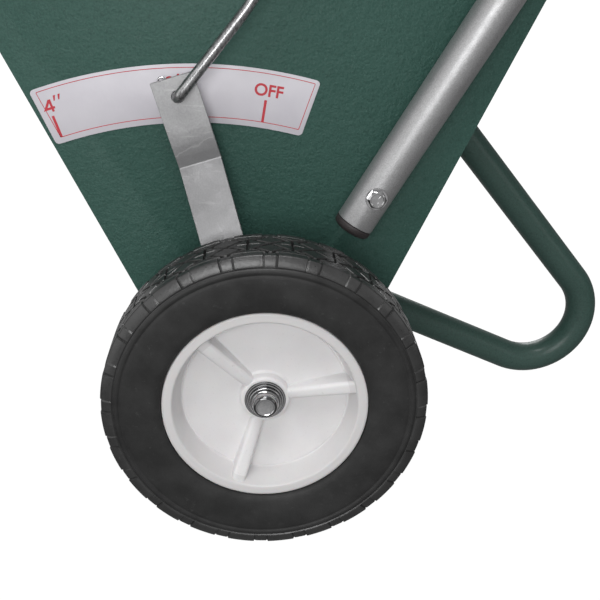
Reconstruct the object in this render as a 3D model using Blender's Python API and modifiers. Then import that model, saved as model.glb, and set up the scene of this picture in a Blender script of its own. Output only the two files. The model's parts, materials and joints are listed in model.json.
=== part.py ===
"""Walk-behind dry line marker: a V-shaped steel hopper on two wheels, with a rear stand, a push handle,
an agitator on the axle, and a shut-off gate under the outlet that a hand lever works through a rod.

Run with: blender --background --python part.py

Units are metres, +Z is up, -X is the direction of travel and Y runs along the axle.
Every part is laid out from the axle, and one empty then shifts the whole so that its box is centred.
"""

from math import acos, atan2, cos, pi, radians, sin, tan

import bmesh
import bpy
from mathutils import Matrix, Vector

MM = 0.001
GAP = 0.3 * MM  # kept between faces that touch

# Wheels and axle
WHEEL_R = 101.6 * MM
WHEEL_Y = 221.8 * MM  # middle plane of each wheel
TREAD_HALF = 18.4 * MM
HUB_R = 64.3 * MM
HUB_HALF = 18.7 * MM
HUB_FACE = 7.5 * MM  # boss face, measured out from the wheel's middle plane
BOSS_R = 15.5 * MM
RIB_ANGLES = (12, 132, 252)  # degrees, seen from the left side
AXLE_R = 6.35 * MM
AXLE_HALF = 236.5 * MM
BORE_R = 6.75 * MM
SPACER_R = 9.5 * MM
CAP_END = 240.5 * MM
AXLE = Vector((0, 0, WHEEL_R))

# Hopper
SHEET = 1.5 * MM
PANEL_TILT = radians(25)  # front and rear panels, from the vertical
TROUGH_R = 60.8 * MM  # outside of the round bottom, centred on the axle
RIM_Z = 400 * MM
HALF_WIDTH = 150 * MM  # outside of the side plates
FLANGE = 12 * MM
LIP = 12 * MM
SLOT_LENGTH = 101.6 * MM
SLOT_WIDTH = 12 * MM
BUSHING_R = 10.7 * MM

# Handle
TUBE_R = 12.7 * MM
TUBE_WALL = 1.2 * MM
HANDLE_TILT = radians(31)  # from the vertical, leaning back
HANDLE_Y = HALF_WIDTH + TUBE_R + 1.3 * MM
HANDLE_FOOT = Vector((60.3 * MM, 0, 196.7 * MM))
HANDLE_DIR = Vector((sin(HANDLE_TILT), 0, cos(HANDLE_TILT)))
LOWER_TUBE = 560 * MM
HANDLE_LENGTH = 856 * MM
HANDLE_BEND = 60 * MM
SWAGE_R = 11.0 * MM
SWAGE = 45 * MM
HOPPER_BOLTS = (23.3 * MM, 200 * MM)  # along the handle from its lower end
JOINT_BOLT = 540 * MM
PIVOT_AT = 470 * MM
GRIP_R = 17 * MM
GRIP_LENGTH = 190 * MM

# Quarter-inch fasteners
BOLT_R = 3.175 * MM
HOLE_R = 3.6 * MM
HEX_R = 6.4 * MM
HEAD = 4.2 * MM
NUT = 5.2 * MM

# Shut-off gear: angles are the lever's lean from the vertical, forward negative
LEVER_REST = radians(-16.4)
LEVER_FULL = radians(-40)
LEVER_WIDTH = 28 * MM
STRAP = 3 * MM
CRANK = 185 * MM  # axle to rod hole
LEVER_END = 197 * MM
LEVER_Y = 163 * MM
LEVER_FOOT_Y = 182.5 * MM
GATE_GAP = 0.5 * MM
ROD_R = 3.5 * MM
ROD_HOLE_R = ROD_R + GAP + 0.1 * MM
ROD_Y = 172.5 * MM
CONTROL_Y = 181 * MM
CONTROL_LENGTH = 262 * MM
CONTROL_WIDTH = 25 * MM

# Rear stand
STAND_BEND = 46.6 * MM
STAND_X = 236.5 * MM  # centre of the foot's bend
STAND_UPPER = radians(39.8)  # upper leg, from the vertical
STAND_LOWER = radians(24)  # lower leg, from the horizontal
STAND_WALL = 1.5 * MM

# Lid and its hinge
LID_SHEET = 1.2 * MM
HINGE_R = 3 * MM
HINGE_Z = RIM_Z + 2.5 * MM
HINGE_LENGTH = 240 * MM
KNUCKLES = 5
PIN_R = 1.5 * MM


def panel_x(z, inset=0.0):
    """Distance from the axle's plane to the outside of the front or rear panel at height z."""
    return (TROUGH_R - inset) / cos(PANEL_TILT) + (z - WHEEL_R) * tan(PANEL_TILT)


LIP_X = panel_x(RIM_Z - SHEET) + FLANGE
HINGE_X = -(LIP_X + 4 * MM)
CONTROL_PIVOT = HANDLE_FOOT + HANDLE_DIR * PIVOT_AT
FRONT_X = HINGE_X - HINGE_R
REAR_X = (HANDLE_FOOT + HANDLE_DIR * HANDLE_LENGTH).x + GRIP_R
AXLE_X = -(FRONT_X + REAR_X) / 2

COLOURS = {
    "green_paint": ((0.035, 0.085, 0.07), 0.45, 0.0),
    "silver_paint": ((0.45, 0.45, 0.46), 0.38, 0.7),
    "zinc_steel": ((0.42, 0.42, 0.43), 0.42, 0.9),
    "bare_steel": ((0.3, 0.3, 0.31), 0.45, 1.0),
    "chrome": ((0.75, 0.75, 0.77), 0.12, 1.0),
    "rubber": ((0.03, 0.03, 0.03), 0.75, 0.0),
    "white_plastic": ((0.78, 0.77, 0.77), 0.5, 0.0),
    "nylon": ((0.7, 0.68, 0.62), 0.5, 0.0),
    "black_plastic": ((0.03, 0.028, 0.028), 0.5, 0.0),
    "label_film": ((0.72, 0.71, 0.74), 0.4, 0.0),
}


def collection(name):
    made = bpy.data.collections.new(name)
    bpy.context.scene.collection.children.link(made)
    return made


def material(name):
    """The Principled material of this name, made the first time it is asked for."""
    found = bpy.data.materials.get(name)
    if found:
        return found
    colour, roughness, metallic = COLOURS[name]
    made = bpy.data.materials.new(name)
    made.use_nodes = True
    shader = made.node_tree.nodes["Principled BSDF"]
    shader.inputs["Base Color"].default_value = (*colour, 1)
    shader.inputs["Roughness"].default_value = roughness
    shader.inputs["Metallic"].default_value = metallic
    return made


# ---------------------------------------------------------------- shapes


def mesh_object(name, bm, matrix=None):
    """A loose helper shape. finish() or joined() makes it a part, and cut() makes it a cutter."""
    mesh = bpy.data.meshes.new(name)
    bm.to_mesh(mesh)
    bm.free()
    made = bpy.data.objects.new(name, mesh)
    made.matrix_world = matrix or Matrix.Identity(4)
    CUTTERS.objects.link(made)
    return made


def facing(direction):
    """Rotation that turns +Z to this direction."""
    return Vector(direction).to_track_quat("Z", "Y").to_matrix().to_4x4()


def rod(start, end, radius, sides=24, name="rod"):
    """A solid round bar, or a hexagon with six sides, between two points."""
    start, end = Vector(start), Vector(end)
    bm = bmesh.new()
    bmesh.ops.create_cone(
        bm, cap_ends=True, segments=sides, radius1=radius, radius2=radius, depth=(end - start).length
    )
    return mesh_object(name, bm, Matrix.Translation((start + end) / 2) @ facing(end - start))


def block(low, high, name="block"):
    """A box between two corners."""
    low, high = Vector(low), Vector(high)
    bm = bmesh.new()
    bmesh.ops.create_cube(bm, size=1)
    bmesh.ops.scale(bm, vec=high - low, verts=bm.verts)
    bmesh.ops.translate(bm, vec=(low + high) / 2, verts=bm.verts)
    return mesh_object(name, bm)


def turned(profile, axis_at, direction, steps=24, name="turned"):
    """A turned part. The profile holds (radius, distance along the axis) and is closed, or ends on the axis."""
    points = list(profile)
    area = sum(
        a[0] * b[1] - b[0] * a[1] for a, b in zip(points, points[1:] + points[:1])
    )
    if area > 0:  # Screw needs the outer side to run down
        points.reverse()
    on_axis = [i for i, p in enumerate(points) if p[0] == 0]
    if on_axis:  # start on the axis and leave the axis itself open
        turn = next(i for i in on_axis if points[i - 1][0] == 0)
        points = points[turn:] + points[:turn]
    bm = bmesh.new()
    verts = [bm.verts.new((r, 0, h)) for r, h in points]
    for a, b in zip(verts, verts[1:]):
        bm.edges.new((a, b))
    if not on_axis:
        bm.edges.new((verts[-1], verts[0]))
    made = mesh_object(name, bm, Matrix.Translation(axis_at) @ facing(direction))
    screw = made.modifiers.new("Screw", "SCREW")
    screw.steps = steps
    screw.render_steps = steps
    screw.use_merge_vertices = True
    screw.merge_threshold = 0.00001
    return as_mesh(made)


def prism(outline, y_low, y_high, name="prism"):
    """A flat outline of (x, z) points, extruded from y_low to y_high."""
    curve = bpy.data.curves.new(name, "CURVE")
    curve.dimensions = "2D"
    curve.fill_mode = "BOTH"
    curve.extrude = (y_high - y_low) / 2
    spline = curve.splines.new("POLY")
    spline.points.add(len(outline) - 1)
    for point, (x, z) in zip(spline.points, outline):
        point.co = (x, z, 0, 1)
    spline.use_cyclic_u = True
    made = bpy.data.objects.new(name, curve)
    made.matrix_world = Matrix.Translation((0, (y_low + y_high) / 2, 0)) @ Matrix.Rotation(pi / 2, 4, "X")
    CUTTERS.objects.link(made)
    return as_mesh(made)


def wire(points, radius, resolution=4, wall=0.0, radii=None, name="wire"):
    """A round bar along a path, or a tube with open ends when it has a wall."""
    curve = bpy.data.curves.new(name, "CURVE")
    curve.dimensions = "3D"
    curve.bevel_depth = radius
    curve.bevel_resolution = resolution
    curve.use_fill_caps = wall == 0.0
    spline = curve.splines.new("POLY")
    spline.points.add(len(points) - 1)
    for i, (point, at) in enumerate(zip(spline.points, points)):
        point.co = (*at, 1)
        point.radius = radii[i] if radii else 1.0
    made = bpy.data.objects.new(name, curve)
    CUTTERS.objects.link(made)
    made = as_mesh(made)
    if wall:
        shell = made.modifiers.new("Solidify", "SOLIDIFY")
        shell.thickness = wall
        shell.offset = -1
        made = as_mesh(made)
    return made


def rounded(corners, radius, step=radians(15)):
    """A path through the corners, with an arc of this radius at each inner one."""
    path = [Vector(corners[0])]
    for before, corner, after in zip(corners, corners[1:], corners[2:]):
        before, corner, after = Vector(before), Vector(corner), Vector(after)
        towards, away = (before - corner).normalized(), (after - corner).normalized()
        opening = acos(towards.dot(away))
        centre = corner + (towards + away).normalized() * radius / sin(opening / 2)
        first = corner + towards * radius / tan(opening / 2) - centre
        turn = pi - opening
        axis = away.cross(towards).normalized() * -1
        count = max(2, round(turn / step))
        path += [centre + Matrix.Rotation(-turn * i / count, 3, axis) @ first for i in range(count + 1)]
    path.append(Vector(corners[-1]))
    return path


def strip(points, thickness):
    """The closed outline of a bent strip whose middle line goes through these 2D points."""
    sides = ([], [])
    middle = [Vector(p) for p in points]
    for i, at in enumerate(middle):
        ways = [(b - a).normalized() for a, b in zip(middle[max(i - 1, 0) : i + 1], middle[max(i, 1) : i + 2])]
        along = sum(ways, Vector((0, 0))).normalized()
        normal = Vector((-along.y, along.x)) * thickness / 2 / along.dot(ways[0])
        sides[0].append(at + normal)
        sides[1].append(at - normal)
    return [tuple(p) for p in sides[0] + sides[1][::-1]]


def arc(centre, radius, start, end, count):
    """Points on an arc in the XZ plane, with angles from +X towards +Z."""
    spread = (start + (end - start) * i / count for i in range(count + 1))
    return [(centre[0] + radius * cos(a), centre[1] + radius * sin(a)) for a in spread]


def as_mesh(obj):
    """The evaluated object as a welded mesh, in place of the object."""
    bpy.context.view_layer.update()
    evaluated = obj.evaluated_get(bpy.context.evaluated_depsgraph_get())
    mesh = bpy.data.meshes.new_from_object(evaluated)
    bm = bmesh.new()
    bm.from_mesh(mesh)
    bmesh.ops.remove_doubles(bm, verts=bm.verts, dist=0.000005)
    bm.to_mesh(mesh)
    bm.free()
    name, matrix = obj.name, obj.matrix_world.copy()
    bpy.data.objects.remove(obj)
    made = bpy.data.objects.new(name, mesh)
    made.matrix_world = matrix
    CUTTERS.objects.link(made)
    return made


def cut(obj, *cutters):
    return boolean(obj, "DIFFERENCE", cutters)


def joined(obj, *others):
    return boolean(obj, "UNION", others)


def boolean(obj, operation, others):
    for other in others:
        modifier = obj.modifiers.new(operation.title(), "BOOLEAN")
        modifier.operation = operation
        modifier.object = other
    made = as_mesh(obj)
    for other in others:
        bpy.data.objects.remove(other)
    return made


def finish(obj, name, material_name, group, smooth=True):
    """Names a shape, gives it its material, and hangs it on its group's empty."""
    CUTTERS.objects.unlink(obj)
    MARKER.objects.link(obj)
    obj.name = name
    obj.data.name = name
    obj.data.materials.clear()
    obj.data.materials.append(material(material_name))
    if smooth:
        obj.data.shade_smooth()
        obj.data.set_sharp_from_angle(angle=radians(35))
    # The mesh is moved so that the object's origin is its group's empty, which lies on the joint's axis.
    obj.data.transform(Matrix.Translation(-GROUPS[group].location) @ obj.matrix_world)
    obj.matrix_world = Matrix.Identity(4)
    obj.parent = GROUPS[group]
    return obj


# ---------------------------------------------------------------- hopper


def hopper_outline(inset=0.0, top=RIM_Z, arc_steps=14):
    """The V with its round bottom, from the rear rim down and round to the front rim."""
    radius = TROUGH_R - inset
    bottom = arc((0, WHEEL_R), radius, -PANEL_TILT, PANEL_TILT - pi, arc_steps)
    return [(panel_x(top, inset), top), *bottom, (-panel_x(top, inset), top)]


def hopper_shell():
    """One bent sheet: front panel, round bottom and rear panel, with a stiff flange at each rim."""
    under = RIM_Z - SHEET
    outer = hopper_outline(top=under)
    rear_flange = [(LIP_X, RIM_Z), (LIP_X, RIM_Z - LIP), (LIP_X - SHEET, RIM_Z - LIP), (LIP_X - SHEET, under)]
    front_flange = [(-x, z) for x, z in reversed(rear_flange)]
    inner = hopper_outline(inset=SHEET)
    outline = rear_flange + outer + front_flange + inner[::-1]
    inside = HALF_WIDTH - SHEET - GAP
    shell = prism(outline, -inside, inside)
    slot = block((-SLOT_WIDTH / 2, -SLOT_LENGTH / 2, 30 * MM), (SLOT_WIDTH / 2, SLOT_LENGTH / 2, 60 * MM))
    finish(cut(shell, slot), "hopper_shell", "green_paint", "hopper")


def side_plate(side, name):
    """A flat V-shaped end of the hopper, with holes for the axle bushing and the handle bolts."""
    low, high = sorted((side * (HALF_WIDTH - SHEET), side * HALF_WIDTH))
    plate = prism(hopper_outline(), low, high)
    reach = 20 * MM
    y = side * HALF_WIDTH
    holes = [rod((0, y - reach, WHEEL_R), (0, y + reach, WHEEL_R), BUSHING_R + GAP)]
    for along in HOPPER_BOLTS:
        at = HANDLE_FOOT + HANDLE_DIR * along
        holes.append(rod((at.x, y - reach, at.z), (at.x, y + reach, at.z), HOLE_R, 16))
    finish(cut(plate, *holes), name, "green_paint", "hopper")


def baffle(side, name):
    """A sloping plate inside the hopper that leads the powder to the outlet, and a wall round the agitator."""
    wall_y = side * 56 * MM
    points = [
        (side * (HALF_WIDTH - SHEET - 2 * MM), 250 * MM),
        (wall_y, 112 * MM),
        (wall_y, WHEEL_R - TROUGH_R - 5 * MM),
    ]
    outline = strip(points, SHEET)
    reach = 200 * MM
    plate = prism(outline, -reach, reach)
    plate.matrix_world = Matrix.Rotation(pi / 2, 4, "Z") @ plate.matrix_world
    plate.data.transform(plate.matrix_world)
    plate.matrix_world = Matrix.Identity(4)
    inside = prism(hopper_outline(inset=SHEET + GAP), -HALF_WIDTH, HALF_WIDTH)
    plate = boolean(plate, "INTERSECT", [inside])
    hole = rod((0, wall_y - 20 * MM, WHEEL_R), (0, wall_y + 20 * MM, WHEEL_R), 8.5 * MM)
    finish(cut(plate, hole), name, "green_paint", "hopper")


def axle_bushing(side, name):
    """A flanged bushing through the side plate."""
    inside = HALF_WIDTH - SHEET - GAP
    flange = inside - 2.5 * MM
    nose = HALF_WIDTH + 5.5 * MM
    profile = [
        (BORE_R, flange),
        (16 * MM, flange),
        (16 * MM, inside),
        (BUSHING_R, inside),
        (BUSHING_R, nose),
        (BORE_R, nose),
    ]
    finish(turned(profile, AXLE, (0, side, 0)), name, "nylon", "hopper")


def axle_spacer(side, name):
    """The sleeve that keeps the wheel off the hopper. The gate's straps turn on it."""
    start = HALF_WIDTH + 6 * MM
    end = WHEEL_Y - 18 * MM - 0.5 * MM
    profile = [(BORE_R, start), (SPACER_R, start), (SPACER_R, end), (BORE_R, end)]
    finish(turned(profile, AXLE, (0, side, 0)), name, "zinc_steel", "hopper")


def stand():
    """The rear stand: one tube, bent round at the foot, with both ends cut to the rear panel."""
    centre = Vector((STAND_X, 0, STAND_BEND + TUBE_R))
    upper_way = Vector((-sin(STAND_UPPER), 0, cos(STAND_UPPER)))
    lower_way = Vector((-cos(STAND_LOWER), 0, sin(STAND_LOWER)))
    steps = 10
    start, end = -pi / 2 - STAND_LOWER, STAND_UPPER
    bend = []
    for i in range(steps + 1):
        a = start + (end - start) * i / steps
        bend.append(centre + STAND_BEND * Vector((cos(a), 0, sin(a))))
    reach = 260 * MM
    path = [bend[0] + lower_way * reach, *bend, bend[-1] + upper_way * reach]
    tube = wire(path, TUBE_R, resolution=5, wall=STAND_WALL)
    keep_out = hopper_outline(inset=-GAP, top=RIM_Z)
    finish(cut(tube, prism(keep_out, -30 * MM, 30 * MM)), "stand_tube", "green_paint", "hopper")


def scale_label():
    """The curved sticker behind the lever, on the left side plate."""
    centre = (-44 * MM, -12 * MM)
    inner, outer = 271.7 * MM, 309.6 * MM
    left, right = pi / 2 + radians(19), pi / 2 - radians(15)
    outline = arc(centre, outer, left, right, 14) + arc(centre, inner, right, left, 14)
    y = -(HALF_WIDTH + GAP)
    finish(prism(outline, y - 0.3 * MM, y), "scale_label", "label_film", "hopper")


# ---------------------------------------------------------------- fasteners


def bolt(at, side, length, name, group, head_y):
    """A hexagon bolt along Y, with its head outside at head_y."""
    head = rod((at.x, side * head_y, at.z), (at.x, side * (head_y + HEAD), at.z), HEX_R, 6)
    shank = rod((at.x, side * (head_y + HEAD / 2), at.z), (at.x, side * (head_y - length), at.z), BOLT_R, 12)
    finish(joined(head, shank), name, "zinc_steel", group, smooth=False)


def nut(at, side, inner_y, name, group):
    """A hexagon nut along Y, from inner_y outwards."""
    outer_y = inner_y + NUT
    body = rod((at.x, side * inner_y, at.z), (at.x, side * outer_y, at.z), HEX_R, 6)
    hole = rod((at.x, side * (inner_y - 1 * MM), at.z), (at.x, side * (outer_y + 1 * MM), at.z), HOLE_R, 12)
    finish(cut(body, hole), name, "zinc_steel", group, smooth=False)


# ---------------------------------------------------------------- handle


def lower_tube(side, name):
    """The straight lower tube of the handle, bolted to the outside of the side plate."""
    foot = HANDLE_FOOT + Vector((0, side * HANDLE_Y, 0))
    bore = TUBE_R - TUBE_WALL
    profile = [(bore, 0), (TUBE_R, 0), (TUBE_R, LOWER_TUBE), (bore, LOWER_TUBE)]
    tube = turned(profile, foot, HANDLE_DIR)
    places = [*HOPPER_BOLTS, JOINT_BOLT]
    if side < 0:
        places.append(PIVOT_AT)
    finish(cut(tube, *[handle_hole(side, s) for s in places]), name, "silver_paint", "hopper")


def handle_hole(side, along):
    """A cutter for a bolt hole across the handle."""
    at = HANDLE_FOOT + HANDLE_DIR * along
    return rod((at.x, side * 120 * MM, at.z), (at.x, side * 200 * MM, at.z), HOLE_R, 16)


def tube_plug(side, name):
    """The plastic plug in the tube's lower end."""
    foot = HANDLE_FOOT + Vector((0, side * HANDLE_Y, 0))
    stem = TUBE_R - TUBE_WALL - GAP
    profile = [
        (0, -6.3 * MM),
        (8 * MM, -6.1 * MM),
        (TUBE_R - 1.6 * MM, -5 * MM),
        (TUBE_R, -3.2 * MM),
        (TUBE_R, -GAP),
        (stem, -GAP),
        (stem, 12 * MM),
        (0, 12 * MM),
    ]
    finish(turned(profile, foot, HANDLE_DIR, 24), name, "black_plastic", "hopper")


def upper_handle():
    """The U-shaped push handle. Its ends are swaged to slide into the lower tubes."""
    taper = 3 * MM
    clear = 0.6 * MM
    stations = (LOWER_TUBE - SWAGE, LOWER_TUBE + clear, LOWER_TUBE + clear + taper)

    def leg(side, along):
        return HANDLE_FOOT + HANDLE_DIR * along + Vector((0, side * HANDLE_Y, 0))

    left = [leg(-1, s) for s in stations]
    right = [leg(1, s) for s in stations]
    bends = rounded([left[-1], leg(-1, HANDLE_LENGTH), leg(1, HANDLE_LENGTH), right[-1]], HANDLE_BEND)
    path = left[:-1] + bends + right[-2::-1]
    narrow = SWAGE_R / TUBE_R
    radii = [narrow, narrow] + [1.0] * len(bends) + [narrow, narrow]
    tube = wire(path, TUBE_R, resolution=5, wall=TUBE_WALL, radii=radii)
    tube = cut(tube, handle_hole(-1, JOINT_BOLT), handle_hole(1, JOINT_BOLT))
    finish(tube, "upper_handle", "silver_paint", "hopper")


def handle_grip():
    """The rubber sleeve on the middle of the crossbar."""
    inner = TUBE_R + GAP
    half = GRIP_LENGTH / 2
    edge = 3 * MM
    profile = [
        (inner, -half),
        (GRIP_R - edge, -half),
        (GRIP_R, edge - half),
        (GRIP_R, half - edge),
        (GRIP_R - edge, half),
        (inner, half),
    ]
    bar = HANDLE_FOOT + HANDLE_DIR * HANDLE_LENGTH
    finish(turned(profile, bar, (0, 1, 0)), "handle_grip", "rubber", "hopper")


def cross_brace():
    """A flat bar between the tubes, with its turned-up ends under the joint bolts."""
    half = HANDLE_Y - TUBE_R - 0.5 * MM - STRAP / 2
    end = 24 * MM
    outline = strip([(-half, end), (-half, 0), (half, 0), (half, end)], STRAP)
    width = 20 * MM
    bar = prism(outline, -width / 2, width / 2)
    at = HANDLE_FOOT + HANDLE_DIR * (JOINT_BOLT - end / 2)
    # The outline's first axis becomes Y and its second runs up the handle.
    across = HANDLE_DIR.cross(Vector((0, 1, 0)))
    turn = Matrix((Vector((0, 1, 0)), across, HANDLE_DIR)).transposed().to_4x4()
    bar.matrix_world = Matrix.Translation(at) @ turn @ bar.matrix_world
    bolt_at = HANDLE_FOOT + HANDLE_DIR * JOINT_BOLT
    hole = rod((bolt_at.x, -200 * MM, bolt_at.z), (bolt_at.x, 200 * MM, bolt_at.z), HOLE_R, 16)
    finish(cut(bar, hole), "cross_brace", "silver_paint", "hopper")


def handle_fasteners():
    """Bolts and nuts through both tubes: two to the hopper and one at the handle's joint on each side."""
    head_y = HANDLE_Y + TUBE_R + GAP
    inside = HALF_WIDTH - SHEET - GAP - NUT
    brace_inside = HANDLE_Y - TUBE_R - 0.5 * MM - STRAP - GAP - NUT
    for side, word in ((-1, "left"), (1, "right")):
        for along, place in zip(HOPPER_BOLTS, ("lower", "upper")):
            at = HANDLE_FOOT + HANDLE_DIR * along
            bolt(at, side, head_y - inside + 2 * MM, f"{word}_{place}_handle_bolt", "hopper", head_y)
            nut(at, side, inside, f"{word}_{place}_handle_nut", "hopper")
        at = HANDLE_FOOT + HANDLE_DIR * JOINT_BOLT
        bolt(at, side, head_y - brace_inside + 2 * MM, f"{word}_joint_bolt", "hopper", head_y)
        nut(at, side, brace_inside, f"{word}_joint_nut", "hopper")


# ---------------------------------------------------------------- wheels and axle


def wheel_hub(side, name, group, pinned=False):
    """A moulded hub: a dished web, a boss, a deep rim, and three ribs on each face."""
    half, web = HUB_HALF, 2.2 * MM
    groove = 3.3 * MM
    profile = [
        (BORE_R, HUB_FACE),
        (BOSS_R - 1 * MM, HUB_FACE),
        (BOSS_R, HUB_FACE - 1 * MM),
        (BOSS_R + 1.5 * MM, web),
        (52.5 * MM, web),
        (57.5 * MM, half - 2.2 * MM),
        (59 * MM, half),
        (HUB_R, half),
        (HUB_R, 10 * MM),
        (HUB_R - groove, 8 * MM),
        (HUB_R - groove, -8 * MM),
        (HUB_R, -10 * MM),
        (HUB_R, -half),
        (59 * MM, -half),
        (54 * MM, 2 * MM - web),
        (BOSS_R + 1.5 * MM, 2 * MM - web),
        (BOSS_R, -18 * MM),
        (BORE_R, -18 * MM),
    ]
    centre = AXLE + Vector((0, side * WHEEL_Y, 0))
    hub = turned(profile, centre, (0, side, 0), 36)
    hub = joined(hub, *[hub_rib(centre, side, radians(a)) for a in RIB_ANGLES])
    if pinned:
        y = side * (WHEEL_Y - 12 * MM)
        hub = cut(hub, rod((0, y, 0.06), (0, y, 0.15), PIN_R + GAP, 12))
    finish(hub, name, "white_plastic", group)


def hub_rib(centre, side, angle):
    """A rib that rises from the boss face to the rim. It starts as a cube, and its outer top edge is lifted."""
    inner, outer, width = BOSS_R - 3 * MM, 60 * MM, 4.2 * MM
    low, boss_top, rim_top = 0.5 * MM, HUB_FACE - 0.8 * MM, HUB_HALF - 1.2 * MM
    bm = bmesh.new()
    bmesh.ops.create_cube(bm, size=1)
    for v in bm.verts:
        far, high = v.co.x > 0, v.co.y > 0
        top = rim_top if far else boss_top
        v.co = (outer if far else inner, top if high else low, width * (1 if v.co.z > 0 else -1))
    ridge = [e for e in bm.edges if all(v.co.y > 1 * MM for v in e.verts) and e.calc_length() > 30 * MM]
    bmesh.ops.bevel(bm, geom=ridge, offset=3.2 * MM, segments=3, profile=0.5, affect="EDGES")
    turn = Matrix.Rotation(-angle, 4, "Y")
    flip = Matrix.Diagonal((1, side, 1, 1))
    bm.transform(Matrix.Translation(centre) @ turn @ flip)
    if side < 0:
        bmesh.ops.reverse_faces(bm, faces=bm.faces)
    return mesh_object("rib", bm)


def tyre(side, name, group):
    """The solid rubber tyre, with an inner rib that sits in the hub's groove."""
    bead = HUB_R + GAP
    half = [
        (HUB_R - 3.3 * MM + GAP, 7.4 * MM),
        (bead, 9.6 * MM),
        (bead, 18.7 * MM),
        (68 * MM, 21.2 * MM),
        (84 * MM, 22.2 * MM),
        (90.5 * MM, 22.2 * MM),
        (92.5 * MM, 20.8 * MM),
        (99.5 * MM, 19.8 * MM),
        (WHEEL_R, TREAD_HALF),
    ]
    profile = half + [(r, -h) for r, h in reversed(half)]
    centre = AXLE + Vector((0, side * WHEEL_Y, 0))
    finish(turned(profile, centre, (0, side, 0), 36), name, "rubber", group)


def axle_shaft():
    """The axle, with a cross hole for the pin that drives it from the right wheel."""
    shaft = rod((0, -AXLE_HALF, WHEEL_R), (0, AXLE_HALF, WHEEL_R), AXLE_R, 24)
    y = WHEEL_Y - 12 * MM
    finish(cut(shaft, rod((0, y, 0.06), (0, y, 0.15), PIN_R + GAP, 12)), "axle_shaft", "bare_steel", "axle")
    reach = BOSS_R + 2.5 * MM
    pin = rod((0, y, WHEEL_R - reach), (0, y, WHEEL_R + reach), PIN_R, 12)
    finish(pin, "drive_pin", "zinc_steel", "axle")


def agitator():
    """A sleeve on the axle with four pairs of tines, each pair turned from the last."""
    half = 44 * MM
    profile = [(BORE_R, -half), (SPACER_R, -half), (SPACER_R, half), (BORE_R, half)]
    sleeve = turned(profile, AXLE, (0, 1, 0), 24)
    tines = []
    pairs = 4
    for i in range(pairs):
        y = half * (2 * i + 1 - pairs) / pairs
        for a in (pi * i / pairs, pi * i / pairs + pi):
            way = Vector((cos(a), 0, sin(a)))
            at = AXLE + Vector((0, y, 0))
            tines.append(rod(at + way * 8 * MM, at + way * 51 * MM, 2.4 * MM, 10))
    finish(joined(sleeve, *tines), "agitator", "bare_steel", "axle")


def axle_cap(side, name):
    """The push-on cap that keeps the wheel on its axle."""
    skirt = WHEEL_Y + HUB_FACE + 2.2 * MM
    bore = AXLE_R + GAP
    profile = [
        (0, CAP_END),
        (5 * MM, CAP_END - 0.2 * MM),
        (7.4 * MM, CAP_END - 1.4 * MM),
        (8.2 * MM, CAP_END - 3.2 * MM),
        (8.4 * MM, skirt + 1.6 * MM),
        (10.2 * MM, skirt + 1.2 * MM),
        (10.2 * MM, skirt),
        (bore, skirt),
        (bore, AXLE_HALF + GAP),
        (0, AXLE_HALF + GAP),
    ]
    finish(turned(profile, AXLE, (0, side, 0)), name, "chrome", "axle")


def axle_washer(side, name):
    """The washer between the hub and the cap."""
    start = WHEEL_Y + HUB_FACE + GAP
    end = start + 1.6 * MM
    profile = [(BORE_R, start), (13 * MM, start), (13 * MM, end), (BORE_R, end)]
    finish(turned(profile, AXLE, (0, side, 0)), name, "chrome", "axle")


# ---------------------------------------------------------------- shut-off gate and its controls


def lean(obj, angle=LEVER_REST):
    """Turns a shape made with the lever upright about the axle."""
    turn = Matrix.Translation(AXLE) @ Matrix.Rotation(angle, 4, "Y")
    obj.matrix_world = turn @ obj.matrix_world
    return obj


def gate_plate():
    """The curved shutter under the outlet: solid for off, then a narrow window, then a wide one."""
    inner = TROUGH_R + GATE_GAP
    outer = inner + SHEET
    rear, front = radians(13.5), radians(52)
    start, end = -pi / 2 + rear, -pi / 2 - front
    outline = arc((0, 0), outer, start, end, 16) + arc((0, 0), inner, end, start, 16)
    plate = prism(outline, -(HALF_WIDTH - 3 * MM), HALF_WIDTH - 3 * MM)
    windows = []
    for angle, length in ((LEVER_REST, SLOT_LENGTH / 2), (LEVER_FULL, SLOT_LENGTH)):
        half = SLOT_WIDTH / 2 + 0.7 * MM
        window = block((-half, -length / 2, -outer - 5 * MM), (half, length / 2, -inner + 5 * MM))
        window.matrix_world = Matrix.Rotation(-angle, 4, "Y")
        windows.append(window)
    plate = cut(plate, *windows)
    tabs = []
    for side in (-1, 1):
        low, high = sorted((side * (HALF_WIDTH - 5 * MM), side * (LEVER_FOOT_Y - STRAP / 2 - 1 * MM)))
        half = LEVER_WIDTH / 2
        tab = block((-half, low, -outer), (half, high, -inner))
        tabs.append(cut(tab, gate_rivet_hole(side)))
    finish(lean(joined(plate, *tabs)), "gate_plate", "zinc_steel", "gate")


def gate_rivet_hole(side):
    y = side * (LEVER_FOOT_Y - 12 * MM)
    return rod((0, y, -80 * MM), (0, y, -50 * MM), 2.4 * MM + GAP, 12)


def gate_strap(side, name, top):
    """A strap that hangs the gate from the axle's spacer. The left one carries on up as the lever."""
    foot_z = -(TROUGH_R + GATE_GAP + SHEET + GAP + STRAP / 2)
    foot_y = LEVER_FOOT_Y - 22 * MM
    points = [*top, (LEVER_FOOT_Y, foot_z), (foot_y, foot_z)]
    strap = prism(strip([(side * y, z) for y, z in points], STRAP), -LEVER_WIDTH / 2, LEVER_WIDTH / 2)
    strap.matrix_world = Matrix.Rotation(pi / 2, 4, "Z") @ strap.matrix_world
    bore = rod((0, side * 100 * MM, 0), (0, side * 200 * MM, 0), SPACER_R + GAP + 0.2 * MM)
    holes = [bore, gate_rivet_hole(side)]
    if side < 0:
        holes.append(rod((0, -100 * MM, CRANK), (0, -200 * MM, CRANK), ROD_HOLE_R, 16))
    finish(lean(cut(strap, *holes)), name, "zinc_steel", "gate")


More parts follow.
